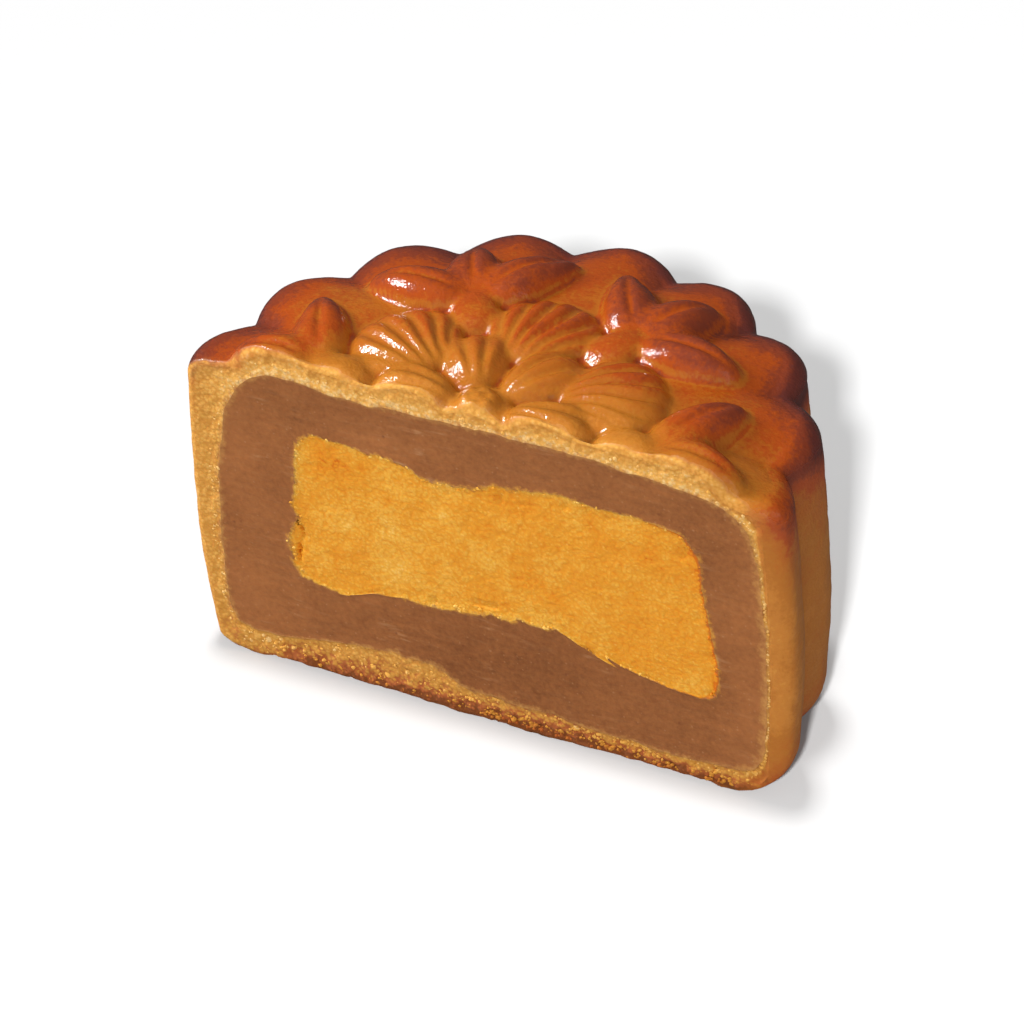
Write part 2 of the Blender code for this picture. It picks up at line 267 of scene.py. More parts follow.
def pressed(x, y):
    # height of the blossom above the plain top: the forms' heights joined with a fillet
    p = blossom
    x, y = x + p["waver"] * noise(x, y, 0.0, 5.5, 3), y + p["waver"] * noise(x, y, 4.0, 5.5, 5)
    r = np.hypot(x, y)
    boss = p["boss"]
    q = r / boss["size"]
    centre = boss["height"] * pillow(q) - boss["ringDepth"] * groove(r - boss["ringAt"], 0.24)
    for k in range(7):      # seven seeds, the last one in the middle
        seedAngle, seedR = k * math.pi / 3 + 0.5, 1.0 if k < 6 else 0.0
        d = np.hypot(x - seedR * math.cos(seedAngle), y - seedR * math.sin(seedAngle))
        centre = centre + 0.24 * np.clip(1 - (d / boss["seed"]) ** 2, 0, 1) ** 0.5 - 0.06
    height = np.where(q < 1, centre, p["fall"] * (1 - q) * boss["size"])
    for form in p["forms"]:
        for k in range(p["fold"]):
            turn = form["turn"] + k * 360 / p["fold"]
            middle = math.radians(turn)
            farY = form["at"][0] * math.sin(middle) + form["at"][1] * math.cos(middle)
            if farY + max(form["size"]) < cutY:
                continue
            soft = p["leafFillet"] if form["kind"] == "leaf" else p["fillet"]
            height = smoothMax(height, cushion(x, y, form, turn), soft)
    foot = 0.25 * p["fillet"] * groove(height, 0.4)
    height = smoothMax(height, np.zeros_like(height), p["fillet"]) - foot
    return np.maximum(height, 0) * p["level"] * (1 - 0.03 * (1 + noise(x, y, 9.0, 7.0, 8)))


def relief(x, y):
    # the baked dough has no sharp edge: the mean of the pressed height over a small ring
    height = pressed(x, y)
    for k in range(6):
        turn, reach = k * math.pi / 3, blossom["rounding"]
        height = height + pressed(x + reach * math.cos(turn), y + reach * math.sin(turn))
    return height / 7


def plainTop(x, y):
    # the top without the blossom: nearly flat, with creases that run in from the rim
    angle = np.arctan2(y, x)
    reach = cake["tipRadius"] - cake["creaseDepth"] * (1 - scallop(angle)) - crustSizes["shoulder"]
    t = np.clip(np.hypot(x, y) / reach, 0, 1)
    dip = crustSizes["creaseDip"] * (1 - scallop(angle)) * np.exp((t - 1) / 0.07)
    return cake["rimHeight"] + dome(t) - dip


# Outlines of the layers on the cut, from the middle of the cut, as x and z

pasteSizes = {"scallop": 0.45, "depth": 1.055, "ragged": 0.18, "rows": 250, "bandRows": 44,
              "steps": 4, "behindCut": 0.25, "line": (
    (-22.8, 14.4), (-22.9, 9.6), (-22.8, 4.8), (-22.1, 3.2), (-20.7, 2.7), (-18.4, 2.8),
    (-15.0, 3.5), (-12.0, 4.1), (-8.5, 4.4), (-5.6, 4.4), (-3.9, 3.9), (-2.4, 3.0), (0.5, 2.9),
    (5.3, 2.8), (8.2, 2.4), (12.0, 2.4), (17.8, 2.3), (20.7, 2.5), (22.4, 2.9), (23.1, 4.6),
    (23.4, 9.6), (23.5, 13.5), (23.5, 16.5), (23.3, 19.2), (22.9, 23.6), (22.3, 25.6),
    (21.0, 27.0), (19.2, 27.7), (16.5, 28.0), (12.5, 28.2), (8.0, 28.5), (4.0, 28.5),
    (0.0, 28.4), (-4.8, 28.2), (-9.0, 28.0), (-12.5, 28.0), (-15.2, 28.4), (-17.6, 28.4),
    (-19.1, 27.7), (-20.6, 26.0), (-21.6, 24.0), (-22.4, 19.2))}
custardSizes = {"scallop": 0.0, "depth": 0.98, "ragged": 0.3, "rows": 240, "bandRows": 60,
                "steps": 4, "behindCut": 0.25, "middle": 0.05, "line": (
    (-16.4, 14.4), (-16.9, 12.6), (-16.6, 10.6), (-16.0, 9.5), (-14.1, 9.1), (-11.9, 8.8),
    (-9.9, 9.8), (-7.3, 10.1), (-4.5, 10.1), (-2.5, 10.4), (0.3, 10.9), (3.0, 11.2),
    (6.0, 11.3), (8.6, 10.7), (10.6, 9.7), (11.4, 9.0), (13.2, 9.0), (15.5, 8.7), (18.3, 8.5),
    (19.3, 9.0), (19.5, 10.6), (19.3, 13.5), (18.9, 16.2), (18.5, 18.6), (18.5, 21.0),
    (18.0, 22.4), (17.0, 23.7), (14.5, 24.0), (10.0, 24.1), (4.9, 24.0), (2.0, 23.6),
    (0.1, 22.9), (-1.8, 22.5), (-3.8, 22.2), (-5.0, 22.5), (-6.0, 23.2), (-9.5, 23.4),
    (-12.4, 23.7), (-14.2, 23.7), (-15.2, 22.8), (-15.8, 21.2), (-16.0, 18.6), (-16.4, 16.4),
    (-15.8, 15.3))}


def lineRadius(sizes, size, seed):
    # the line's smoothed distance from the middle for each direction, with a rough edge
    line = np.array(sizes["line"])
    x, z = line[:, 0], line[:, 1] - loopCentre
    order = np.argsort(np.arctan2(z, x))
    fine = np.linspace(-math.pi, math.pi, 1441)[:-1]
    xs = np.interp(fine, np.arctan2(z, x)[order], np.hypot(x, z)[order], period=2 * math.pi)
    for _ in range(3):
        xs = (np.roll(xs, 1) + xs + np.roll(xs, -1)) / 3

    def at(direction):
        r = np.interp(direction, fine, xs, period=2 * math.pi)
        px, pz = r * np.cos(direction), r * np.sin(direction)
        return r + sizes["ragged"] * onCut(px, pz, size, 3, seed)
    return at


pasteAt = lineRadius(pasteSizes, 1.5, 11)
custardAt = lineRadius(custardSizes, 1.4, 23)


def evenDirections(radiusAt, rows):
    # directions spaced so that the points lie about evenly along the loop's two halves
    fine = np.linspace(-math.pi / 2, math.pi / 2, 2000)
    halves = []
    for direction in (fine, math.pi - fine):
        r = radiusAt(direction)
        x, z = r * np.cos(direction), r * np.sin(direction)
        length = np.concatenate([[0], np.cumsum(np.hypot(np.diff(x), np.diff(z)))])
        halves.append(np.interp(np.linspace(0, length[-1], rows + 2)[1:-1], length, direction))
    return halves


def polar(x, z):
    # direction and distance from the middle of the cut
    return np.arctan2(z - loopCentre, x), np.hypot(x, z - loopCentre)


# Building closed meshes from rows of points

class Shape:
    # collects points and faces; rows are arrays of point numbers
    def __init__(self):
        self.points, self.quads, self.tris, self.count = [], [], [], 0

    def add(self, xyz):
        xyz = np.atleast_2d(xyz)
        first = self.count
        self.points.append(xyz)
        self.count += len(xyz)
        return np.arange(first, self.count)

    def strip(self, a, b):
        # faces between two rows of equal count, or where b has half the steps of a
        if len(a) == len(b):
            self.quads.append(np.column_stack([a[:-1], a[1:], b[1:], b[:-1]]))
        else:
            e, m, f = a[0:-2:2], a[1:-1:2], a[2::2]
            self.tris.append(np.column_stack([e, m, b[:-1]]))
            self.tris.append(np.column_stack([m, b[1:], b[:-1]]))
            self.tris.append(np.column_stack([m, f, b[1:]]))

    def fan(self, row, pole):
        self.tris.append(np.column_stack([row[:-1], row[1:], np.full(len(row) - 1, pole[0])]))

    def all(self):
        return np.concatenate(self.points)


def closedLoop(low, rows, high):
    # point numbers round the cut: up the right side and down the left, back to the start
    right = [row[0] for row in rows]
    left = [row[-1] for row in reversed(rows)]
    return np.array([low[0]] + right + [high[0]] + left + [low[0]])


def lathe(shape, right, left, low, high, share, steps, depth, ends=None):
    # a hollow or hidden surface: each level swings from the right point to the left point
    angle = around(steps)
    turn = (angle - angle[0]) / (angle[-1] - angle[0]) * math.pi
    mix = (1 + np.cos(turn)) / 2
    notch = share * cake["creaseDepth"] * (1 - scallop(angle)) * np.sin(turn)
    rows = []
    for k in range(len(right)):
        radius = mix * right[k, 0] - (1 - mix) * left[k, 0] - notch
        radius = np.maximum(radius, 0.02)
        z = mix * right[k, 1] + (1 - mix) * left[k, 1] + loopCentre
        inner = np.column_stack([radius * np.cos(turn), cutY + depth * radius * np.sin(turn), z])
        if ends is None:
            rows.append(shape.add(inner))
        else:
            middle = shape.add(inner[1:-1])
            rows.append(np.concatenate([[ends[0][k]], middle, [ends[1][k]]]))
    for a, b in zip(rows, rows[1:]):
        shape.strip(a, b)
    shape.fan(rows[0], low)
    shape.fan(rows[-1], high)
    return rows


def bands(shape, loop, innerAt, count, finer=False):
    # rows across the cut from an outer loop to an inner one, finer with twice the points;
    # returns the inner loop's point numbers and each point's share of the way
    outer = shape.all()[loop]
    if finer:
        halfway = (outer[:-1] + outer[1:]) / 2
        outer = np.vstack([np.stack([outer[:-1], halfway], axis=1).reshape(-1, 3), outer[-1:]])
    direction = polar(outer[:, 0], outer[:, 2])[0]
    r = innerAt(direction)
    level = r * np.sin(direction) + loopCentre
    inner = np.column_stack([r * np.cos(direction), np.full(len(r), cutY), level])
    last, ways = loop, []
    for k in range(1, count + 1):
        row = shape.add((outer * (1 - k / count) + inner * (k / count))[:-1])
        row = np.append(row, row[0])
        ways.append((row, k / count))
        if len(row) == len(last):
            shape.strip(last, row)
        else:
            shape.strip(row, last)
        last = row
    across = np.zeros(shape.count)
    for row, share in ways:
        across[row] = share
    return last, across


def hollowBehind(shape, loop, sizes, steps):
    # the hidden hollow behind a closed loop on the cut, which the next layer fills
    half = (len(loop) - 1) // 2
    right, left = loop[1:half], loop[half + 1:-1][::-1]
    xz = shape.all()[:, [0, 2]] - [0, loopCentre]
    lathe(shape, xz[right], xz[left], loop[:1], loop[half:half + 1], sizes["scallop"], steps,
          sizes["depth"], ends=(right, left))


def finishedMesh(name, shape, points, attributes, material):
    # from the cake's axis to the part's place, in metres, with its values for the material
    x = points[:, 0] + cake["lean"] * (points[:, 2] / cake["rimHeight"] - 0.5)
    place = np.column_stack([x, points[:, 1] + axisY, points[:, 2]]) * metre
    faces = [f for part in shape.quads + shape.tris for f in part.tolist()]
    mesh = bpy.data.meshes.new(name)
    mesh.from_pydata(place.tolist(), [], faces)
    bm = bmesh.new()
    bm.from_mesh(mesh)
    bmesh.ops.recalc_face_normals(bm, faces=bm.faces[:])
    bm.to_mesh(mesh)
    bm.free()
    for key, values in attributes.items():
        layer = mesh.attributes.new(key, "FLOAT", "POINT")
        layer.data.foreach_set("value", np.asarray(values, dtype=np.float32))
    mesh.shade_smooth()
    mesh.set_sharp_from_angle(angle=math.radians(70))     # hard where cut and wall meet
    mesh.materials.append(material)
    obj = bpy.data.objects.new(name, mesh)
    bpy.context.scene.collection.objects.link(obj)
    triangles = sum(len(p) - 2 for p in faces)
    print(name, len(place), "points", triangles, "triangles")
    return obj


# Material helpers

def feed(socket, value):
    # a link where the value comes from another node, else the number or colour itself
    if hasattr(value, "links"):
        socket.id_data.links.new(value, socket)
    elif isinstance(value, tuple) and len(value) < len(socket.default_value):
        socket.default_value = (*value, 1.0)
    else:
        socket.default_value = value


def newGroup(name, inputs, outputs):
    # a node group that reads Vector and the given numbers
    group = bpy.data.node_groups.new(name, "ShaderNodeTree")

    def socket(label, way, kind="Float"):
        kind = "NodeSocket" + kind
        return group.interface.new_socket(name=label, in_out=way, socket_type=kind)

    socket("Vector", "INPUT", "Vector")
    for label, value in inputs.items():
        socket(label, "INPUT").default_value = value
    for label in outputs:
        socket(label, "OUTPUT")
    inside = group.nodes.new("NodeGroupInput").outputs
    return group, inside, group.nodes.new("NodeGroupOutput").inputs


def node(tree, kind, inputs=None, **settings):
    made = tree.nodes.new("ShaderNode" + kind)
    for key, value in settings.items():
        setattr(made, key, value)
    for label, value in (inputs or {}).items():
        feed(made.inputs[label], value)
    return made


def math2(tree, operation, a, b, clamp=False):
    made = node(tree, "Math", operation=operation, use_clamp=clamp)
    feed(made.inputs[0], a)
    feed(made.inputs[1], b)
    return made.outputs[0]


def add(tree, a, b):
    return math2(tree, "ADD", a, b)


def times(tree, a, b):
    return math2(tree, "MULTIPLY", a, b)


def mixColor(tree, factor, a, b):
    made = node(tree, "Mix", data_type="RGBA", blend_type="MIX")
    for number, value in ((0, factor), (6, a), (7, b)):
        feed(made.inputs[number], value)
    return made.outputs[2]


def mapped(tree, value, fromLow, fromHigh, toLow, toHigh):
    made = node(tree, "MapRange")
    for socket, number in zip(made.inputs, (value, fromLow, fromHigh, toLow, toHigh)):
        feed(socket, number)
    return made.outputs[0]


def colorRamp(tree, value, stops):
    made = node(tree, "ValToRGB")
    made.color_ramp.interpolation = "EASE"
    elements = made.color_ramp.elements
    while len(elements) < len(stops):
        elements.new(0.5)
    for element, (place, color) in zip(elements, stops):
        element.position = place
        element.color = (*color, 1.0)
    feed(made.inputs[0], value)
    return made.outputs[0]


def cloud(tree, vector, scale, detail, roughness=0.5):
    inputs = {"Vector": vector, "Scale": scale, "Detail": detail, "Roughness": roughness}
    return node(tree, "TexNoise", inputs).outputs["Fac"]


def cells(tree, vector, scale):
    return node(tree, "TexVoronoi", {"Vector": vector, "Scale": scale}, feature="F1").outputs


def stretched(tree, vector, turn, scale):
    # a pattern's vector turned in the plane of the cut and drawn out along one direction
    inputs = {"Vector": vector, "Rotation": (0.0, turn, 0.0), "Scale": (scale, 1.0, 1.0)}
    return node(tree, "Mapping", inputs).outputs["Vector"]


def attribute(tree, name):
    return node(tree, "Attribute", attribute_name=name).outputs["Fac"]


def grainGroup():
    # crumb or grain: packed round grains in two sizes; gives a height and a mask, lowest in the
    # gaps between grains, which the materials use for grain colour and for painted shade in the
    # gaps
    group, inside, out = newGroup("Grain", {"Scale": 2500.0, "Coarse": 0.5}, ("Height", "Mask"))
    vector, scale = inside["Vector"], inside["Scale"]
    fine = cells(group, vector, scale)["Distance"]
    coarse = cells(group, vector, times(group, scale, 0.42))["Distance"]
    rough = times(group, cloud(group, vector, times(group, scale, 0.8), 4.0), 0.7)
    both = add(group, fine, times(group, coarse, inside["Coarse"]))
    height = math2(group, "SUBTRACT", rough, both)
    feed(out["Height"], height)
    feed(out["Mask"], mapped(group, height, -0.75, 0.05, 0.0, 1.0))
    return group


def mottleGroup():
    # soft uneven shading, centred on 0.5
    group, inside, out = newGroup("Mottle", {"Scale": 300.0, "Spread": 1.0}, ("Mask",))
    wide = cloud(group, inside["Vector"], inside["Scale"], 5.0, 0.6)
    spread = times(group, math2(group, "SUBTRACT", wide, 0.5), inside["Spread"])
    feed(out["Mask"], add(group, spread, 0.5))
    return group


def speckGroup():
    # small round specks in some of the cells of a pattern; Share says in how many
    group, inside, out = newGroup("Specks", {"Scale": 2500.0, "Share": 0.2}, ("Mask",))
    cell = cells(group, inside["Vector"], inside["Scale"])
    draw = node(group, "SeparateColor", {"Color": cell["Color"]}).outputs
    chosen = math2(group, "LESS_THAN", draw[0], inside["Share"])
    radius = mapped(group, draw[1], 0.0, 1.0, 0.15, 0.5)
    body = math2(group, "SUBTRACT", radius, cell["Distance"])
    body = math2(group, "MULTIPLY", body, 5.0, clamp=True)
    feed(out["Mask"], times(group, body, chosen))
    return group


def meltGroup():
    # where two layers meet: 0 on one side and 1 on the other, soft and ragged in between;
    # Distance is in millimetres, below 0 on the first side
    inputs = {"Distance": 0.0, "Scale": 2500.0, "Ragged": 0.6, "Width": 0.2}
    group, inside, out = newGroup("Melted edge", inputs, ("Mask",))
    wavy = cloud(group, inside["Vector"], inside["Scale"], 4.0, 0.65)
    swing = times(group, math2(group, "SUBTRACT", wavy, 0.5), inside["Ragged"])
    shifted = add(group, inside["Distance"], swing)
    across = math2(group, "DIVIDE", shifted, inside["Width"])
    feed(out["Mask"], mapped(group, across, -1.0, 1.0, 0.0, 1.0))
    return group


groups = {"grain": grainGroup(), "mottle": mottleGroup(),
          "specks": speckGroup(), "melt": meltGroup()}


def place(tree, key, vector, output="Mask", **values):
    made = node(tree, "Group", node_tree=groups[key])
    for label, value in {"Vector": vector, **values}.items():
        feed(made.inputs[label], value)
    return made.outputs if output is None else made.outputs[output]


# how the layers run into each other on the cut
meltLook = {"crust": {"Scale": 1900.0, "Ragged": 1.7, "Width": 0.38},
            "core": {"Scale": 1700.0, "Ragged": 1.6, "Width": 0.24},
            "pasteTone": (0.275, 0.098, 0.032), "crumbTone": (0.50, 0.235, 0.060),
            "custardTone": (0.60, 0.27, 0.035)}


def newMaterial(name, specular):
    material = bpy.data.materials.new(name)
    material.use_nodes = True
    tree = material.node_tree
    surface = tree.nodes["Principled BSDF"].inputs
    surface["Specular IOR Level"].default_value = specular
    return material, tree, surface, node(tree, "TexCoord").outputs["Object"]


def bump(tree, height, strength, distance, normal=None):
    inputs = {"Strength": strength, "Distance": distance, "Height": height}
    if normal is not None:
        inputs["Normal"] = normal
    return node(tree, "Bump", inputs).outputs["Normal"]


def soften(surface, weight, radius, scale):
    for label, value in (("Weight", weight), ("Radius", radius), ("Scale", scale)):
        surface["Subsurface " + label].default_value = value


# Crust

crustLook = {
    "skin": ((0.0, (0.58, 0.250, 0.036)), (0.15, (0.50, 0.180, 0.022)),
             (0.30, (0.42, 0.138, 0.013)), (0.45, (0.41, 0.113, 0.010)),
             (0.60, (0.37, 0.061, 0.006)), (0.78, (0.215, 0.038, 0.014)),
             (1.0, (0.125, 0.027, 0.019))),
    "crumb": ((0.0, (0.20, 0.052, 0.009)), (0.22, (0.37, 0.094, 0.022)),
              (0.5, (0.55, 0.240, 0.036)), (0.75, (0.68, 0.338, 0.068)),
              (1.0, (0.74, 0.460, 0.170))),
    "gloss": 0.15, "matt": 0.75,
}


def crustMaterial():
    material, tree, surface, vector = newMaterial("crust baked", 0.5)
    cutFace = attribute(tree, "cutFace")
    mottle = place(tree, "mottle", vector, Scale=420.0, Spread=0.30)
    fine = place(tree, "mottle", vector, Scale=2600.0, Spread=0.34)
    shade = add(tree, add(tree, mottle, fine), -1.0)
    # the skin's colour: browning, with painted shade in the blossom's deep lines
    skin = colorRamp(tree, add(tree, attribute(tree, "browning"), shade), crustLook["skin"])
    grain = place(tree, "grain", vector, None, Scale=2900.0, Coarse=0.6)
    # paler grains, and painted shade in the gaps between them
    grainAndGapShade = mapped(tree, grain["Mask"], 0.0, 1.0, -0.20, 0.16)
    crumb = colorRamp(tree, add(tree, attribute(tree, "pale"), grainAndGapShade), crustLook["crumb"])
    melt = place(tree, "melt", vector, Distance=attribute(tree, "toPaste"), **meltLook["crust"])
    crumb = mixColor(tree, melt, crumb, meltLook["pasteTone"])
    feed(surface["Base Color"], mixColor(tree, cutFace, skin, crumb))
    # the egg glaze is glossy and a little uneven, bare dough and crumb are matt
    glaze = attribute(tree, "glaze")
    rough = mapped(tree, glaze, 0.0, 1.0, crustLook["matt"], crustLook["gloss"])
    rough = add(tree, rough, mapped(tree, mottle, 0.4, 0.6, -0.06, 0.08))
    rough = add(tree, rough, mapped(tree, cutFace, 0.0, 1.0, 0.0, 0.6))
    feed(surface["Roughness"], rough)
    soften(surface, 0.10, (1.0, 0.35, 0.12), 0.0010)
    wrinkled = bump(tree, cloud(tree, vector, 1500.0, 3.0), 0.6, 0.00012)
    peel = bump(tree, cloud(tree, vector, 4600.0, 1.0), 0.6, 0.00006, wrinkled)
    height = times(tree, grain["Height"], cutFace)
    feed(surface["Normal"], bump(tree, height, 0.5, 0.00010, peel))
    return material


def crustRows():
    # the skin's levels from the middle of the underside, round the foot, up, and in over the top
    s = crustSizes
    angle = around(s["steps"])
    footIn, footUp = between(s["footIn"], angle), between(s["footUp"], angle)
    middle = np.array([0.0, cutY])
    rows = {"under": [], "side": [], "shoulder": [], "top": []}
    footEdge = ringAt(angle, sideRadius(angle, 0.0) - footIn, 0.0)
    for k in range(1, s["undersideRows"]):
        thin = footEdge[::2 ** min(s["undersideRows"] - 1 - k, 3)]      # fewer points inside
        xy = middle + k / s["undersideRows"] * (thin[:, :2] - middle)
        rows["under"].append(np.column_stack([xy, np.zeros(len(xy))]))
    for k in range(s["footRows"] + 1):
        turn = k / s["footRows"] * math.pi / 2
        z = footUp * (1 - math.cos(turn))
        reach = sideRadius(angle, z) - footIn * (1 - math.sin(turn))
        rows["side"].append(ringAt(angle, reach, z))
    for k in range(1, s["sideRows"] + 1):
        z = footUp + (cake["rimHeight"] - s["shoulder"] - footUp) * k / s["sideRows"]
        rows["side"].append(ringAt(angle, sideRadius(angle, z), z))
    for k in range(1, s["shoulderRows"] + 1):
        turn = k / s["shoulderRows"] * math.pi / 2
        z = cake["rimHeight"] - s["shoulder"] * (1 - math.sin(turn))
        dip = s["creaseDip"] * (1 - scallop(angle)) * math.sin(turn) ** 2
        reach = sideRadius(angle, z) - s["shoulder"] * (1 - math.cos(turn))
        rows["shoulder"].append(ringAt(angle, reach, z - dip))
    edge, thinner = rows["shoulder"][-1], [0.52, 0.24]
    for k in range(1, s["topRows"]):
        share = 1 - k / s["topRows"]
        if thinner and share < thinner[0]:      # half as many points from here on
            edge, thinner = edge[::2], thinner[1:]
        xy = middle + share * (edge[:, :2] - middle)
        z = plainTop(xy[:, 0], xy[:, 1]) + relief(xy[:, 0], xy[:, 1])
        rows["top"].append(np.column_stack([xy, z]))
    return rows


def roundedEdge(points):
    # draws the skin in along a quarter circle where it meets the cut; widest at the right end
    x, y, z = points.T
    up = z - loopCentre
    right = ramp(x, 17.0, 25.0) * ramp(z, 1.0, 5.0)
    reach = 0.35 + 0.95 * right
    t = np.clip((y - cutY) / reach, 0, 1)
    inset = reach * (1 - np.sqrt(np.clip(1 - (1 - t) ** 2, 0, 1)))
    normalX = np.sign(x) * np.abs(x / 25.3) ** 7
    normalZ = np.sign(up) * np.abs(up / np.where(up > 0, 14.2, 15.0)) ** 7
    length = np.hypot(normalX, normalZ) + 1e-9
    inset = inset * ramp(length, 0.02, 0.4)
    return np.column_stack([x - inset * normalX / length, y, z - inset * normalZ / length])


def cutDepth(x, z):
    # how far the knife's face lies behind the plane of the cut, the same for every layer
    return 0.05 + 0.035 * (1 + layered(x, 0.0, z, 6.0, 2, 91))


def crustShape():
    # skin, cut face and hollow; also says what each point lies on and how far in on the cut
    shape = Shape()
    levels = crustRows()
    kinds = {"under": 0, "side": 1, "shoulder": 2, "top": 3}
    rows, kind = [], []
    for name, points in levels.items():
        for level in points:
            rows.append(shape.add(roundedEdge(level)))
            kind.append(np.full(len(level), kinds[name]))
    top = float(plainTop(0.0, cutY) + relief(np.zeros(1), np.full(1, cutY))[0])
    low = shape.add(roundedEdge(np.array([[0.0, cutY, 0.0]])))
    high = shape.add(roundedEdge(np.array([[0.0, cutY, top]])))
    for a, b in zip(rows, rows[1:]):
        shape.strip(*((b, a) if len(a) < len(b) else (a, b)))
    shape.fan(rows[0], low)
    shape.fan(rows[-1], high)
    skinCount = shape.count

    loop = closedLoop(low, rows, high)
    outer = shape.all()[loop]
    direction, distance = polar(outer[:, 0], outer[:, 2])
    order = np.argsort(direction)

    def outlineAt(way):
        # the outer edge of the cut, measured from its middle
        return np.interp(way, direction[order], distance[order], period=2 * math.pi)

    inside, across = bands(shape, loop, pasteAt, crustSizes["bandRows"], finer=True)
    bandEnd = shape.count
    hollowBehind(shape, inside, pasteSizes, crustSizes["cavitySteps"])
    number = np.arange(shape.count)
    skin, hidden = number < skinCount, np.zeros(shape.count - skinCount)
    band = (number >= skinCount) & (number < bandEnd)
    band[loop] = True
    kind = np.concatenate(kind + [[kinds["under"]], [kinds["top"]], hidden])
    across = np.append(across, np.zeros(shape.count - bandEnd))
    on = {"skin": skin, "band": band, "across": across, "under": skin & (kind == 0),
          "side": kind == 1, "shoulder": kind == 2, "top": kind == 3}
    return shape, on, outlineAt


def coarsenedCrust(points, on):
    # the fine shape of the baked skin and of the crumb on the cut
    s = crustSizes
    x, y, z = points.T
    angle, fromCut = np.arctan2(y, x), y - cutY
    # the baked skin: gentle dents, small bumps and upright streaks
    radial = np.column_stack([np.cos(angle), np.sin(angle), np.zeros(len(x))])
    lift = np.where(on["top"], 1.0, np.where(on["shoulder"], ramp(z, 26.3, 28.2), 0.0))[:, None]
    outward = radial * (1 - lift) + np.array([0.0, 0.0, 1.0]) * lift
    dents = s["dent"] * (layered(x, y, z, 3.6, 2, 31) - 0.5)
    dents = dents + s["pock"] * (layered(x, y, z, 0.9, 2, 37) - 0.4)
    streak = s["streak"] * (noise(angle * 25, 0.0, z * 0.25, 0.9, 41) - 0.6)
    keep = np.where(on["side"] | on["shoulder"] | on["top"], 1.0, 0.0)
    keep = keep * np.where(on["top"], 0.4, 1.0)
    x, y, z = (points + outward * (keep * (dents + streak * on["side"]))[:, None]).T

    # the foot and the underside: small hollows where the dough lifted off the tray
    nearFoot = np.clip(1 - z / 1.6, 0, 1) * (on["skin"] | on["band"])
    hollow = s["hollow"] * np.clip(noise(x, y, 0.0, 4.2, 53) - 0.1, 0, 1)
    hollow = hollow + s["smallHollow"] * np.clip(noise(x, y, 0.0, 1.1, 59), 0, 1)
    hollow = hollow + s["leftHollow"] * ramp(-x, 20.5, 26.0) ** 2
    z = z + nearFoot * hollow * ramp(fromCut, 9.0, 0.3)

    # the cut: crumbly, coarser in the base, smooth towards the outside of the right end
    coarseness = 0.35 + 0.65 * (1 - ramp(z, 2.0, 4.6))
    outside = 1 - ramp(on["across"], 0.0, 0.55)
    smoothEdge = 1 - 0.75 * outside * ramp(np.abs(x), 20.0, 24.0)
    crumb = s["crumb"] * (1 + onCut(x, z, 0.45, 2, 61))
    crumb = crumb + s["baseCrumb"] * coarseness * (1 + onCut(x, z, 0.9, 2, 67)) ** 2
    joined = 1 - np.exp(-(1 - on["across"]) / 0.10)
    fade = np.where(on["band"], 1.0, np.exp(-fromCut / 0.35) * on["skin"])
    y = y + fade * (cutDepth(x, z) + crumb * smoothEdge * joined)
    inHollow = ~on["band"] & ~on["skin"]
    y = np.where(inHollow, np.maximum(y, cutY + s["behindCut"]), y)
    return np.column_stack([x, y, z]), angle, fromCut, coarseness


crustTones = {
    # shares of browning on the field of the top, on its raised forms, and on side and rim; the
    # valley share is painted shade in the blossom's deepest lines
    "field": 0.30, "backField": 0.13, "farField": 0.08, "leftField": 0.04, "rightField": 0.07,
    "raised": 0.02, "raisedFar": 0.08, "leaves": 0.09, "crest": 0.09, "golden": 0.10,
    "valley": 0.20, "topMottle": 0.05, "side": 0.27, "sideMottle": 0.09, "foot": 0.32,
    "rim": 0.62, "farRim": 0.18, "cornerRim": 0.36, "under": 0.42, "cloudy": 0.05,
    # how light the crumb of the cut is
    "pale": 0.66, "paleInside": 0.20, "darkBase": 0.21, "darkMiddle": 0.12, "paleTop": 0.09,
    "darkFoot": 0.46, "crumbMottle": 0.06,
}


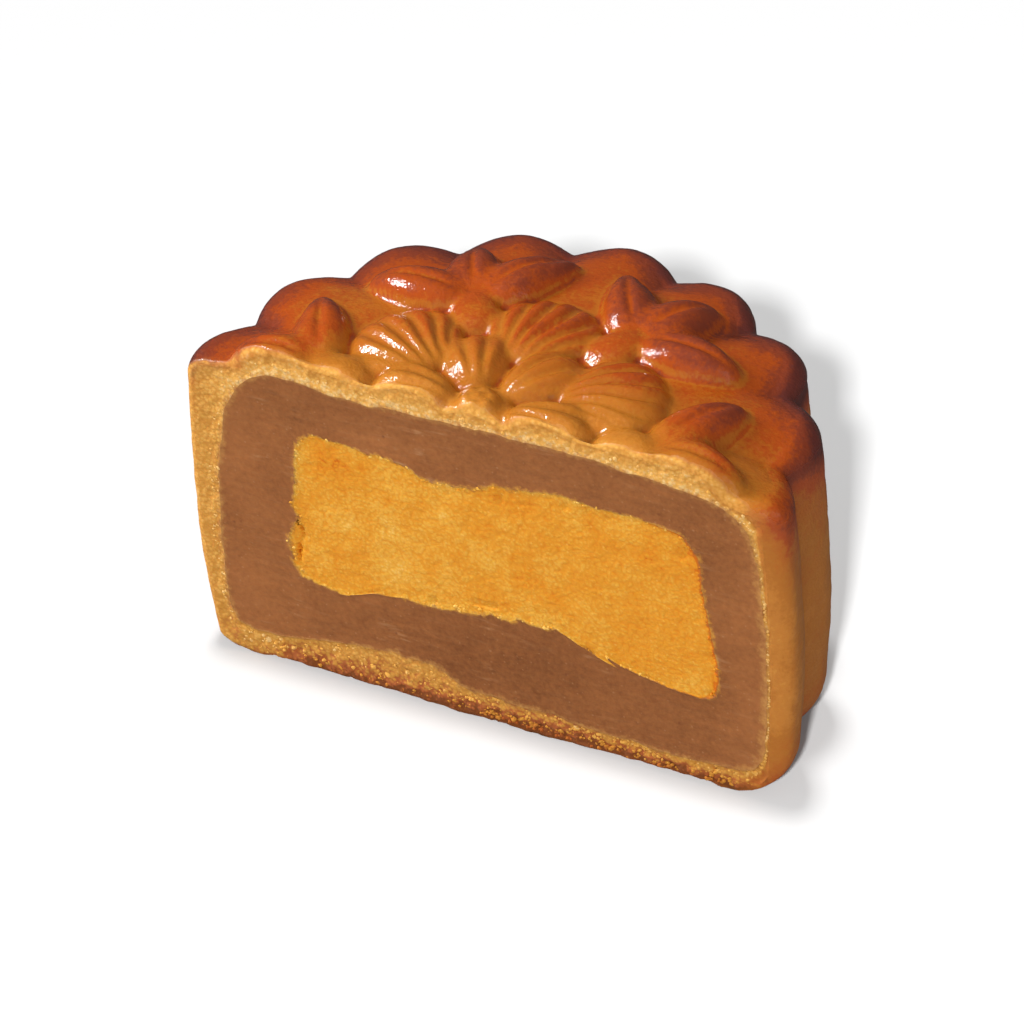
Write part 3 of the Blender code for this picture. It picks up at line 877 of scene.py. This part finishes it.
def crustValues(points, on, outlineAt, angle, fromCut, coarseness):
    # what the material reads: browning with painted shade in the deep lines, glaze, and the crumb
    # and layers of the cut
    t = crustTones
    x, y, z = points.T
    across, top = on["across"], on["top"]
    r = np.hypot(x, y)
    raised = np.where(top, relief(x, y), 0.0)
    nearby = np.zeros(len(x))
    for k in range(8):
        dx, dy = 0.6 * math.cos(k * math.pi / 4), 0.6 * math.sin(k * math.pi / 4)
        nearby = nearby + pressed(x + dx, y + dy) / 8
    # how far a point lies below its surroundings, used for the golden glaze and for the painted
    # shade
    valley = np.clip((nearby - raised) / 0.35, 0, 1) * top
    crest = ramp(raised - nearby, -0.08, 0.30) * top
    golden = ramp(valley, 0.0, 0.40) * (1 - ramp(valley, 0.40, 0.9))
    far = ramp(y + 0.45 * x, 0.0, 16.0)
    back = ramp(y, 2.0, 8.0)
    rightEnd, leftEnd = ramp(x, 20.0, 24.0), ramp(-x, 20.0, 24.0)
    leftBase = ramp(-x, 16.0, 21.0)
    nearCorner = ramp(x, 18.0, 22.0) * (1 - ramp(y, 6.0, 12.0))
    leftTop = leftBase * (1 - ramp(y, 2.0, 7.0))

    # the top: darker to the back and on crests, golden beside the deep lines, with painted shade
    # in the deepest lines
    field = t["field"] + t["backField"] * ramp(y, 1.0, 8.0) + t["farField"] * far
    field = field + t["leftField"] * ramp(-x, 5.0, 12.0)
    field = field - t["rightField"] * ramp(x, 5.0, 12.0) * (1 - ramp(y, 4.0, 9.0))
    leafy = ramp(r, 12.0, 15.0) * ramp(raised, 0.2, 1.3)
    leafy = leafy * (1 + 1.3 * ramp(np.abs(x), 11.0, 15.0) * (1 - ramp(y, 7.0, 11.0)))
    onTop = field + (t["raised"] + t["raisedFar"] * far) * ramp(raised, 0.3, 1.5)
    onTop = onTop + t["leaves"] * leafy + t["crest"] * crest * back
    # painted shade: darker where the blossom's lines are deepest
    onTop = onTop - t["golden"] * golden * back + t["valley"] * ramp(valley, 0.4, 0.95)
    onTop = onTop + t["topMottle"] * layered(x, y, z, 2.4, 2, 89)

    # the side, browner at the foot, and the dark rim
    foot = (1 - ramp(z, 0.8, 8.5)) * (1 - 0.35 * ramp(y, 4.0, 12.0))
    onSide = t["side"] + t["sideMottle"] * layered(x, y, z * 0.6, 1.0, 3, 107) + t["foot"] * foot
    browning = onSide + (onTop - onSide) * ramp(z, 24.5, 27.6)
    edge = fading(sideRadius(angle, 28.0) - r, 1.9 + 3.5 * leftTop)
    edge = edge * fading(cake["rimHeight"] - crustSizes["shoulder"] - z, 1.9 + 1.9 * rightEnd)
    rim = t["rim"] + t["farRim"] * far - t["cornerRim"] * nearCorner
    browning = browning + edge * rim * (1 - 0.4 * ramp(raised, 0.4, 1.2))

    # paler beside the cut, where the knife drew the glaze off
    wander = fromCut + 0.38 * layered(x, y, z, 1.0, 3, 83)
    freshSide = (0.22 - 0.10 * rightEnd) * (1 - ramp(z, 24.0, 27.5))
    fresh = np.where(top, 0.28 - 0.24 * leftTop, freshSide)
    browning = browning - fresh * fading(wander, 0.9) * (1 - 0.5 * rightEnd * top)
    browning = np.where(on["under"], t["under"], browning)
    browning = browning + t["cloudy"] * layered(x, y, z, 6.0, 3, 71)
    skinAbove = on["side"] | on["shoulder"] | top
    glaze = np.where(top, 1.0, ramp(z, 24.8, 27.6) * skinAbove)
    glaze = glaze * ramp(wander, 0.05, 0.55 - 0.25 * rightEnd)

    # the crumb: pale towards the paste, darker in the base and darkest at the foot
    inward = ramp(across, 0.3, 0.8) * (1 - 0.3 * coarseness) * (1 - 1.3 * leftEnd)
    lowBase = (1 - ramp(z, 3.5, 6.5)) * (1 - 0.7 * leftBase)
    pale = t["pale"] + t["paleInside"] * inward + t["paleTop"] * ramp(z, 25.0, 28.0)
    pale = pale - (t["darkBase"] + t["darkMiddle"] * groove(x - 4.0, 5.0)) * lowBase
    darkFoot = 1 - ramp(z + 0.8 * onCut(x, z, 0.9, 2, 79), 0.2, 1.9)
    pale = pale - t["darkFoot"] * darkFoot * (1 - 0.8 * leftBase)
    pale = pale + t["crumbMottle"] * onCut(x, z, 2.5, 2, 73)

    # the left wall is pale right out to the skin, the right wall turns smooth and golden
    way, distance = polar(x, z)
    onBand = 1 - rightEnd * (1 - ramp(across, 0.35, 0.65))
    fromSkin = across * (outlineAt(way) - pasteAt(way)) + 0.5 * onCut(x, z, 1.1, 3, 97)
    onBand = onBand * (1 - 0.45 * fading(fromSkin, 0.5) * ramp(z, 3.0, 6.0))
    reach = 0.30 + 0.4 * leftEnd * ~(on["shoulder"] | top)
    nearCut = groove(np.clip(wander, 0, 30), reach) * (1 - rightEnd)
    return {"browning": browning, "glaze": glaze, "pale": pale,
            "cutFace": np.where(on["band"], onBand, nearCut * on["skin"]),
            "toPaste": np.where(on["band"], pasteAt(way) - distance, -9.0)}


def makeCrust():
    shape, on, outlineAt = crustShape()
    points, *hints = coarsenedCrust(shape.all(), on)
    values = crustValues(points, on, outlineAt, *hints)
    return finishedMesh("crustBaked", shape, points, values, crustMaterial()), outlineAt


# Paste

pasteLook = {"light": (0.380, 0.136, 0.039), "dark": (0.160, 0.049, 0.012),
             "bloom": (0.42, 0.20, 0.085), "haze": (0.56, 0.33, 0.17),
             "fleck": (0.16, 0.045, 0.014),
             # where the pale smears lie and how wide and high they are
             "smears": (((-6.5, 24.3), (2.2, 0.9)), ((-18.5, 20.5), (1.2, 0.9)),
                        ((-16.0, 6.4), (1.6, 1.0)), ((-5.0, 27.4), (5.0, 0.7))),
             # darker below the middle of the core, paler beside its upper left corner
             "patches": ((-0.22, (2.0, 6.5), (8.0, 4.0)), (0.30, (-8.0, 24.6), (4.5, 1.2)))}


def pasteMaterial():
    material, tree, surface, vector = newMaterial("paste cut", 0.25)
    medium = place(tree, "mottle", vector, Scale=700.0, Spread=0.55)
    fine = place(tree, "mottle", vector, Scale=2400.0, Spread=0.9)
    tone = add(tree, attribute(tree, "patches"), add(tree, medium, fine))
    color = mixColor(tree, add(tree, tone, -1.0), pasteLook["dark"], pasteLook["light"])
    # the knife draws faint pale lines, lower on the right
    lines = stretched(tree, vector, 0.35, 0.16)
    lines = place(tree, "mottle", lines, Scale=2600.0, Spread=1.0)
    bloom = attribute(tree, "bloom")
    streaks = times(tree, mapped(tree, lines, 0.55, 0.80, 0.0, 1.0), bloom)
    haze = times(tree, mapped(tree, bloom, 0.95, 1.6, 0.0, 0.8), medium)
    pale = times(tree, place(tree, "specks", vector, Scale=2600.0, Share=0.14), 0.45)
    dark = times(tree, place(tree, "specks", vector, Scale=1700.0, Share=0.025), 0.6)
    for mask, tint in ((streaks, "bloom"), (haze, "haze"), (pale, "bloom"), (dark, "fleck")):
        color = mixColor(tree, mask, color, pasteLook[tint])
    outside = place(tree, "melt", vector, Distance=attribute(tree, "toCrust"), **meltLook["crust"])
    color = mixColor(tree, outside, meltLook["crumbTone"], color)
    inner = place(tree, "melt", vector, Distance=attribute(tree, "toCore"), **meltLook["core"])
    feed(surface["Base Color"], mixColor(tree, inner, color, meltLook["custardTone"]))
    feed(surface["Roughness"], mapped(tree, fine, 0.2, 0.8, 0.50, 0.65))
    soften(surface, 0.15, (1.0, 0.45, 0.22), 0.0010)
    grain = place(tree, "grain", vector, "Height", Scale=1900.0, Coarse=0.3)
    lined = bump(tree, lines, 0.3, 0.00008)
    feed(surface["Normal"], bump(tree, grain, 0.16, 0.00006, lined))
    return material


def layerPiece(name, outerAt, innerAt, sizes, material, surface):
    # a solid layer: hidden outer surface, cut face, and the hollow that the next layer fills
    shape = Shape()
    right, left = [np.column_stack([outerAt(way) * np.cos(way), outerAt(way) * np.sin(way)])
                   for way in evenDirections(outerAt, sizes["rows"])]
    down, up = outerAt(np.array([-math.pi / 2, math.pi / 2]))
    low = shape.add([0.0, cutY, loopCentre - down])
    high = shape.add([0.0, cutY, loopCentre + up])
    rows = lathe(shape, right, left, low, high, sizes["scallop"], sizes["steps"], sizes["depth"])
    backEnd = shape.count
    loop = closedLoop(low, rows, high)
    innerAt = innerAt or (lambda way: np.full(len(way), sizes["middle"]))
    inside = bands(shape, loop, innerAt, sizes["bandRows"])[0]
    if "middle" in sizes:
        shape.fan(inside, shape.add([0.0, cutY, loopCentre]))
    front = np.zeros(shape.count, bool)
    front[backEnd:] = True
    front[loop] = True
    if "middle" not in sizes:
        hollowBehind(shape, inside, custardSizes, custardSizes["steps"])
    front = np.append(front, np.zeros(shape.count - len(front), bool))
    points, values = surface(shape.all(), front)
    return finishedMesh(name, shape, points, values, material)


def pasteSurface(points, front):
    x, y, z = points.T
    way, r = polar(x, z)
    toCrust, toCore = pasteAt(way) - r, r - custardAt(way)
    joined = 1 - fading(np.minimum(toCrust, toCore), 0.5)
    wave = 0.03 * (1 + onCut(x, z, 3.0, 2, 101))
    wave = wave + 0.02 * (1 + noise(x * 0.2, 0.0, z, 0.5, 103))
    behind = np.maximum(y, cutY + pasteSizes["behindCut"])
    y = np.where(front, y + cutDepth(x, z) + wave * joined, behind)
    # pale smears that the knife drew off the crumb
    smear = ramp(onCut(x * 0.5 + z * 0.4, z - 0.5 * x, 0.8, 3, 119), -0.1, 0.4)
    smears = sum(spot(x, z, at, size) for at, size in pasteLook["smears"])
    bloom = 0.15 + 0.75 * ramp(onCut(x, z, 3.2, 3, 113), 0.1, 0.6)
    bloom = bloom + smear * smears + 0.5 * fading(toCore, 0.5)
    # on the right the knife smeared the paste towards the crust
    toCrust = toCrust * (1 - 0.55 * ramp(x, 14.0, 22.0) * fading(toCrust, 1.5))
    patches = 0.5 + 0.14 * onCut(x, z, 4.5, 3, 127)
    for amount, at, size in pasteLook["patches"]:
        patches = patches + amount * spot(x, z, at, size)
    patches = patches + 0.16 * ramp(-x, 14.0, 21.0) + 0.12 * ramp(x, 18.0, 22.0)
    values = {"toCrust": np.where(front, toCrust, 9.0), "toCore": np.where(front, -toCore, -9.0),
              "bloom": bloom, "patches": patches}
    return np.column_stack([x, y, z]), values


# Custard core

custardLook = {
    "tones": ((0.0, (0.55, 0.130, 0.003)), (0.2, (0.66, 0.225, 0.010)),
              (0.45, (0.68, 0.270, 0.018)), (0.75, (0.72, 0.345, 0.040)),
              (1.0, (0.79, 0.46, 0.095))),
    "speck": (0.79, 0.46, 0.095),
    # orange on the upper left, where the yolk was denser, and paler in the middle
    "patches": ((-0.24, (-12.8, 21.6), (1.4, 2.0)), (0.16, (-6.0, 17.5), (6.0, 4.5))),
    "crack": {"at": -15.9, "width": 0.09, "depth": 0.9, "from": (10.6, 11.4), "to": (14.6, 15.4)},
}


def custardMaterial(name, softness):
    material, tree, surface, vector = newMaterial(name, 0.2)
    wide = place(tree, "mottle", vector, Scale=330.0, Spread=0.80)
    grain = place(tree, "grain", vector, None, Scale=3300.0, Coarse=0.25)
    # short fibres, leaning like the photographed ones
    fibre = stretched(tree, vector, 0.9, 0.35)
    fibre = place(tree, "mottle", fibre, Scale=3000.0, Spread=0.5)
    # grain colour, and painted shade in the gaps between the grains
    tone = add(tree, mapped(tree, grain["Mask"], 0.0, 1.0, -0.20, 0.17), wide)
    tone = add(tree, tone, mapped(tree, fibre, 0.3, 0.7, -0.08, 0.08))
    # the custard's tone, with painted shade in the crack
    tone = add(tree, tone, attribute(tree, "dryness"))
    color = colorRamp(tree, tone, custardLook["tones"])
    pale = times(tree, place(tree, "specks", vector, Scale=2300.0, Share=0.08), 0.4)
    color = mixColor(tree, pale, color, custardLook["speck"])
    melt = place(tree, "melt", vector, Distance=attribute(tree, "toEdge"), **meltLook["core"])
    feed(surface["Base Color"], mixColor(tree, melt, meltLook["pasteTone"], color))
    feed(surface["Roughness"], mapped(tree, grain["Mask"], 0.0, 1.0, 0.55, 0.70))
    soften(surface, softness, (1.0, 0.5, 0.12), 0.0012)
    height = add(tree, grain["Height"], times(tree, fibre, 0.35))
    feed(surface["Normal"], bump(tree, height, 0.4, 0.00010))
    return material


def custardSurface(points, front):
    x, y, z = points.T
    way, r = polar(x, z)
    toEdge = np.clip(custardAt(way) - r, 0, 30)
    joined = 1 - fading(toEdge, 0.25)
    grain = 0.03 * (1 + onCut(x, z, 0.5, 2, 131)) + 0.04 * (1 + onCut(x, z, 2.2, 3, 137))
    pits = 0.25 * ramp(noise(x, 0.0, z, 0.9, 139), 0.5, 0.85) * fading(toEdge, 1.6)
    c = custardLook["crack"]
    fromCrack = x - c["at"] - 0.5 * noise(0.0, 0.0, z, 1.4, 149)
    crack = c["depth"] * groove(fromCrack, c["width"])
    crack = crack * ramp(z, *c["from"]) * (1 - ramp(z, *c["to"]))
    behind = np.maximum(y, cutY + custardSizes["behindCut"])
    y = np.where(front, y + cutDepth(x, z) + (grain + pits) * joined + crack, behind)
    # orange in thin wandering lines and along the right edge, and painted shade darkening the
    # crack
    lines = groove(onCut(x, z, 3.4, 2, 157), 0.09) * ramp(noise(x, 0.0, z, 4.5, 163), 0.1, 0.6)
    rightEdge = fading(toEdge, 0.28) * ramp(x, 13.5, 17.5)
    # painted shade: the crack's depth also darkens its colour
    dryness = 0.10 * noise(x, 0.0, z, 4.0, 151) - 0.75 * rightEdge - 0.12 * lines - 0.8 * crack
    for amount, at, size in custardLook["patches"]:
        dryness = dryness + amount * spot(x, z, at, size)
    dryness = dryness + 0.16 * onCut(x, z, 1.6, 3, 167)
    dryness = dryness + 0.22 * fading(toEdge, 0.35) * (1 - ramp(x, 12.0, 15.0)) * (1 - crack)
    return np.column_stack([x, y, z]), {"dryness": dryness, "toEdge": np.where(front, toEdge, 9.0)}


# Loose grains on the cut

grainSizes = {
    "crust": {"seed": 7, "small": 1300, "large": 1900, "smallRadius": (0.06, 0.11),
              "largeRadius": (0.12, 0.24), "behind": 0.12, "sunk": (0.5, 1.15), "baseTop": 6.0,
              "baseShare": 1.25, "wallShare": 0.8, "inBase": 0.95, "inWall": 0.85,
              "tone": 0.90, "dark": 0.12, "darkMiddle": 0.10, "darkFoot": 0.48},
    "custard": {"seed": 12, "small": 420, "large": 240, "smallRadius": (0.05, 0.10),
                "largeRadius": (0.12, 0.24), "behind": 0.05, "sunk": (0.5, 1.0), "tone": 0.25},
}


def ball(detail):
    bm = bmesh.new()
    bmesh.ops.create_icosphere(bm, subdivisions=detail, radius=1.0)
    points = np.array([v.co[:] for v in bm.verts])
    faces = np.array([[v.index for v in f.verts] for f in bm.faces])
    bm.free()
    return points, faces


def grainShapes(shape, rng, centres, radii, detail):
    # lumpy balls: each is stretched, turned and dented by noise of its own; returns their numbers
    unit, faces = ball(detail)
    count = len(centres)
    stretch = rng.uniform(0.65, 1.25, (count, 1, 3))
    turn = np.linalg.qr(rng.normal(size=(count, 3, 3)))[0]
    points = unit[None] * stretch
    number = np.arange(count)[:, None] * 7.3
    lumps = noise(points[..., 0] + number, points[..., 1], points[..., 2], 0.8, 211)
    points = points * (1 + 0.40 * lumps[..., None])
    points = np.einsum("nij,nkj->nki", turn, points) * radii[:, None, None] + centres[:, None]
    first = shape.add(points.reshape(-1, 3))[0]
    starts = first + np.arange(count)[:, None, None] * len(unit)
    shape.tris.append((faces[None] + starts).reshape(-1, 3))
    return np.repeat(np.arange(count), len(unit))


def laidGrains(shape, rng, s, x, z, radii, detail):
    # grains on the face of the cut, each sunk into it by a share of its radius
    y = cutY + cutDepth(x, z) + s["behind"] + rng.uniform(*s["sunk"], len(x)) * radii
    return grainShapes(shape, rng, np.column_stack([x, y, z]), radii, detail)


def finishedGrains(name, shape, values, material):
    points = shape.all()
    points[:, 1] = np.maximum(points[:, 1], cutY + 0.01)
    return finishedMesh(name, shape, points, values, material)


def crustGrains(outlineAt):
    s = grainSizes["crust"]
    rng = np.random.default_rng(s["seed"])
    shape, tones = Shape(), []
    for size, detail in (("small", 1), ("large", 2)):
        # directions even along the cut's outline, a little more of them in the base
        way = rng.uniform(-math.pi, math.pi, s[size] * 3)
        density = np.where(way < 0, s["baseShare"], s["wallShare"])
        way = way[rng.uniform(0, 30, len(way)) < pasteAt(way) * density][:s[size]]
        inner, outer = pasteAt(way), outlineAt(way)
        share = rng.beta(1.0, 2.2, len(way))          # most lie next to the paste
        base = (np.sin(way) * inner + loopCentre) < s["baseTop"]
        share = np.where(base, rng.uniform(0.0, 0.97, len(way)), share * 0.8)
        reach = inner + 0.04 + share * (outer - inner - 0.12)
        x, z = reach * np.cos(way), reach * np.sin(way) + loopCentre
        radii = rng.uniform(*s[size + "Radius"], len(way))
        radii = radii * np.where(base, s["inBase"], s["inWall"])
        fit = (outer - reach > radii * 0.8) & (z > radii + 0.05)
        fit = fit & ~((np.abs(x) > 22.0) & (share > 0.45))
        x, z, radii = x[fit], z[fit], radii[fit]
        which = laidGrains(shape, rng, s, x, z, radii, detail)
        # darker in the base and at the foot, as the crumb under them is
        low = (1 - ramp(z, 3.5, 6.5)) * ramp(x, -21.0, -16.0)
        foot = (1 - ramp(z, 0.3, 2.0)) * (1 - 0.8 * ramp(-x, 16.0, 21.0))
        tone = s["tone"] + rng.normal(0, 0.06, len(x)) - s["darkFoot"] * foot
        tone = tone - (s["dark"] + s["darkMiddle"] * groove(x - 4.0, 5.0)) * low
        tones.append(tone[which])
    return finishedGrains("crustGrains", shape, {"pale": np.concatenate(tones)}, grainMaterial())


def grainMaterial():
    material, tree, surface, vector = newMaterial("crust grains", 0.05)
    mottle = place(tree, "mottle", vector, Scale=2400.0, Spread=0.35)
    tone = add(tree, add(tree, attribute(tree, "pale"), mottle), -0.5)
    feed(surface["Base Color"], colorRamp(tree, tone, crustLook["crumb"]))
    surface["Roughness"].default_value = 0.9
    return material


def custardGrains(material):
    s = grainSizes["custard"]
    rng = np.random.default_rng(s["seed"])
    shape, tones = Shape(), []
    for size, detail in (("small", 1), ("large", 2)):
        way = rng.uniform(-math.pi, math.pi, s[size] * 3)
        way = way[rng.uniform(0, 24, len(way)) < custardAt(way)][:s[size]]
        radii = rng.uniform(*s[size + "Radius"], len(way))
        reach = custardAt(way) + rng.normal(-0.14, 0.12, len(way))
        x, z = reach * np.cos(way), reach * np.sin(way) + loopCentre
        which = laidGrains(shape, rng, s, x, z, radii, detail)
        tone = rng.normal(s["tone"], 0.15, len(x)) - 0.6 * ramp(x, 15.0, 18.5)
        tones.append(tone[which])
    values = {"dryness": np.concatenate(tones), "toEdge": np.full(shape.count, 9.0)}
    return finishedGrains("custardGrains", shape, values, material)


# Stage, light and camera

view = {"azimuth": 30.26, "elevation": 37.82, "roll": -4.5, "distance": 463.8,
        "target": (0.26, 10.58, 13.46), "pixelsPerMm": 13.1, "centre": (560.1, 499.0),
        "frame": 1024}


def makeCamera():
    v = view
    a, e, roll = (math.radians(v[k]) for k in ("azimuth", "elevation", "roll"))
    forward = Vector((-math.sin(a) * math.cos(e), math.cos(a) * math.cos(e), -math.sin(e)))
    right = Vector((math.cos(a), math.sin(a), 0.0))
    up = right.cross(forward)
    imageX = math.cos(roll) * right + math.sin(roll) * up
    imageY = math.cos(roll) * up - math.sin(roll) * right
    target = Vector(v["target"]) + Vector((0, axisY, 0))
    position = target - forward * v["distance"]
    aim = target + imageX * ((v["frame"] / 2 - v["centre"][0]) / v["pixelsPerMm"])
    aim = aim - imageY * ((v["frame"] / 2 - v["centre"][1]) / v["pixelsPerMm"])
    look = (aim - position).normalized()
    side = (imageX - look * imageX.dot(look)).normalized()
    top = side.cross(look)
    camera = bpy.data.cameras.new("camera")
    camera.sensor_width = 36.0
    camera.lens = v["pixelsPerMm"] * v["distance"] / v["frame"] * camera.sensor_width
    camera.clip_start = 0.01
    obj = bpy.data.objects.new("camera", camera)
    turn = Matrix((side, top, -look)).transposed().to_4x4()
    obj.matrix_world = Matrix.Translation(position * metre) @ turn
    bpy.context.scene.collection.objects.link(obj)
    bpy.context.scene.camera = obj


lights = {
    "key": {"towards": (-0.785, -0.158, 0.60), "distance": 0.55, "size": (0.06, 0.20),
            "power": 3.0, "inGloss": True, "on": "cake"},
    "front": {"towards": (0.25, -0.85, 0.46), "distance": 0.70, "size": (0.50, 0.50),
              "power": 2.9, "inGloss": False, "on": "cake"},
    "fill": {"towards": (0.80, -0.40, 0.45), "distance": 0.80, "size": (0.40, 0.40),
             "power": 0.3, "inGloss": True, "on": "cake"},
    "above": {"towards": (-0.22, 0.0, 1.0), "distance": 0.80, "size": (0.50, 0.50),
              "power": 1.6, "inGloss": False, "on": "cake"},
    "paper": {"towards": (0.305, -0.735, 0.610), "distance": 1.50, "size": (0.080, 0.080),
              "power": 41.0, "inGloss": False, "on": "floor"},
    "steep": {"towards": (-0.03, 0.036, 1.0), "distance": 1.50, "size": (0.160, 0.160),
              "power": 22.0, "inGloss": False, "on": "floor"},
}
sky = {"front": 0.45, "back": 0.20, "inGloss": 0.35}
floorLook = {"size": 6.0, "seen": (0.42, 0.42, 0.42), "bounced": (0.25, 0.25, 0.25), "glow": 0.05}


def makeLights(cakePieces, floor):
    # each lamp reaches the cake or the floor, so the cake's shadow stays short and soft
    target = Vector((0.0, 0.0, 0.015))
    reach = {}
    for key, pieces in (("cake", cakePieces), ("floor", [floor])):
        reach[key] = bpy.data.collections.new("light on the " + key)
        for piece in pieces:
            reach[key].objects.link(piece)
    for name, s in lights.items():
        lamp = bpy.data.lights.new(name, "AREA")
        lamp.shape = "RECTANGLE"
        lamp.size, lamp.size_y = s["size"]
        lamp.energy = s["power"]
        obj = bpy.data.objects.new(name, lamp)
        towards = Vector(s["towards"]).normalized()
        obj.location = target + towards * s["distance"]
        obj.rotation_euler = towards.to_track_quat("Z", "Y").to_euler()
        obj.visible_glossy = s["inGloss"]
        obj.light_linking.receiver_collection = reach[s["on"]]
        bpy.context.scene.collection.objects.link(obj)


def makeSky():
    # darker towards the back and in reflections, so that the glazed top shows its own colour
    world = bpy.data.worlds.new("studio")
    world.use_nodes = True
    tree = world.node_tree
    around = node(tree, "TexCoord").outputs["Generated"]
    across = node(tree, "SeparateXYZ", {"Vector": around}).outputs["Y"]
    strength = mapped(tree, across, -0.4, 0.5, sky["front"], sky["back"])
    reflected = node(tree, "LightPath").outputs["Is Glossy Ray"]
    reflected = mapped(tree, reflected, 0.0, 1.0, 1.0, sky["inGloss"])
    background = tree.nodes["Background"].inputs
    background["Color"].default_value = (1.0, 1.0, 1.0, 1.0)
    feed(background["Strength"], times(tree, strength, reflected))
    bpy.context.scene.world = world


def makeFloor():
    half, low = floorLook["size"] / 2, cadBox[0][2]
    corners = [(-half, -half, low), (half, -half, low), (half, half, low), (-half, half, low)]
    mesh = bpy.data.meshes.new("floor")
    mesh.from_pydata(corners, [], [(0, 1, 2, 3)])
    material, tree, surface, _ = newMaterial("floor paper", 0.1)
    surface["Roughness"].default_value = 0.9
    surface["Emission Color"].default_value = (1.0, 1.0, 1.0, 1.0)
    # the paper throws little light back on the cake
    seen = node(tree, "LightPath").outputs["Is Camera Ray"]
    feed(surface["Base Color"], mixColor(tree, seen, floorLook["bounced"], floorLook["seen"]))
    feed(surface["Emission Strength"], mapped(tree, seen, 0.0, 1.0, 0.0, floorLook["glow"]))
    mesh.materials.append(material)
    floor = bpy.data.objects.new("floor", mesh)
    floor.visible_glossy = False
    bpy.context.scene.collection.objects.link(floor)
    return floor


print("camera, sky and floor")
makeCamera()
makeSky()
floor = makeFloor()
bpy.context.scene.view_settings.view_transform = "Standard"

print("crust")
crust, outlineAt = makeCrust()
print("paste")
paste = layerPiece("pasteCut", pasteAt, custardAt, pasteSizes, pasteMaterial(), pasteSurface)
print("custard")
custard = layerPiece("custardSet", custardAt, None, custardSizes,
                     custardMaterial("custard set", 0.2), custardSurface)
print("grains")
grains = {"crust": crustGrains(outlineAt),
          "custard": custardGrains(custardMaterial("custard grains", 0.0))}

for piece, name in ((crust, "crust"), (paste, "paste"), (custard, "custard")):
    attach(piece, "root")
    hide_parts(name)
for name, piece in grains.items():
    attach(piece, "root")

print("lights")
makeLights([crust, paste, custard] + list(grains.values()), floor)
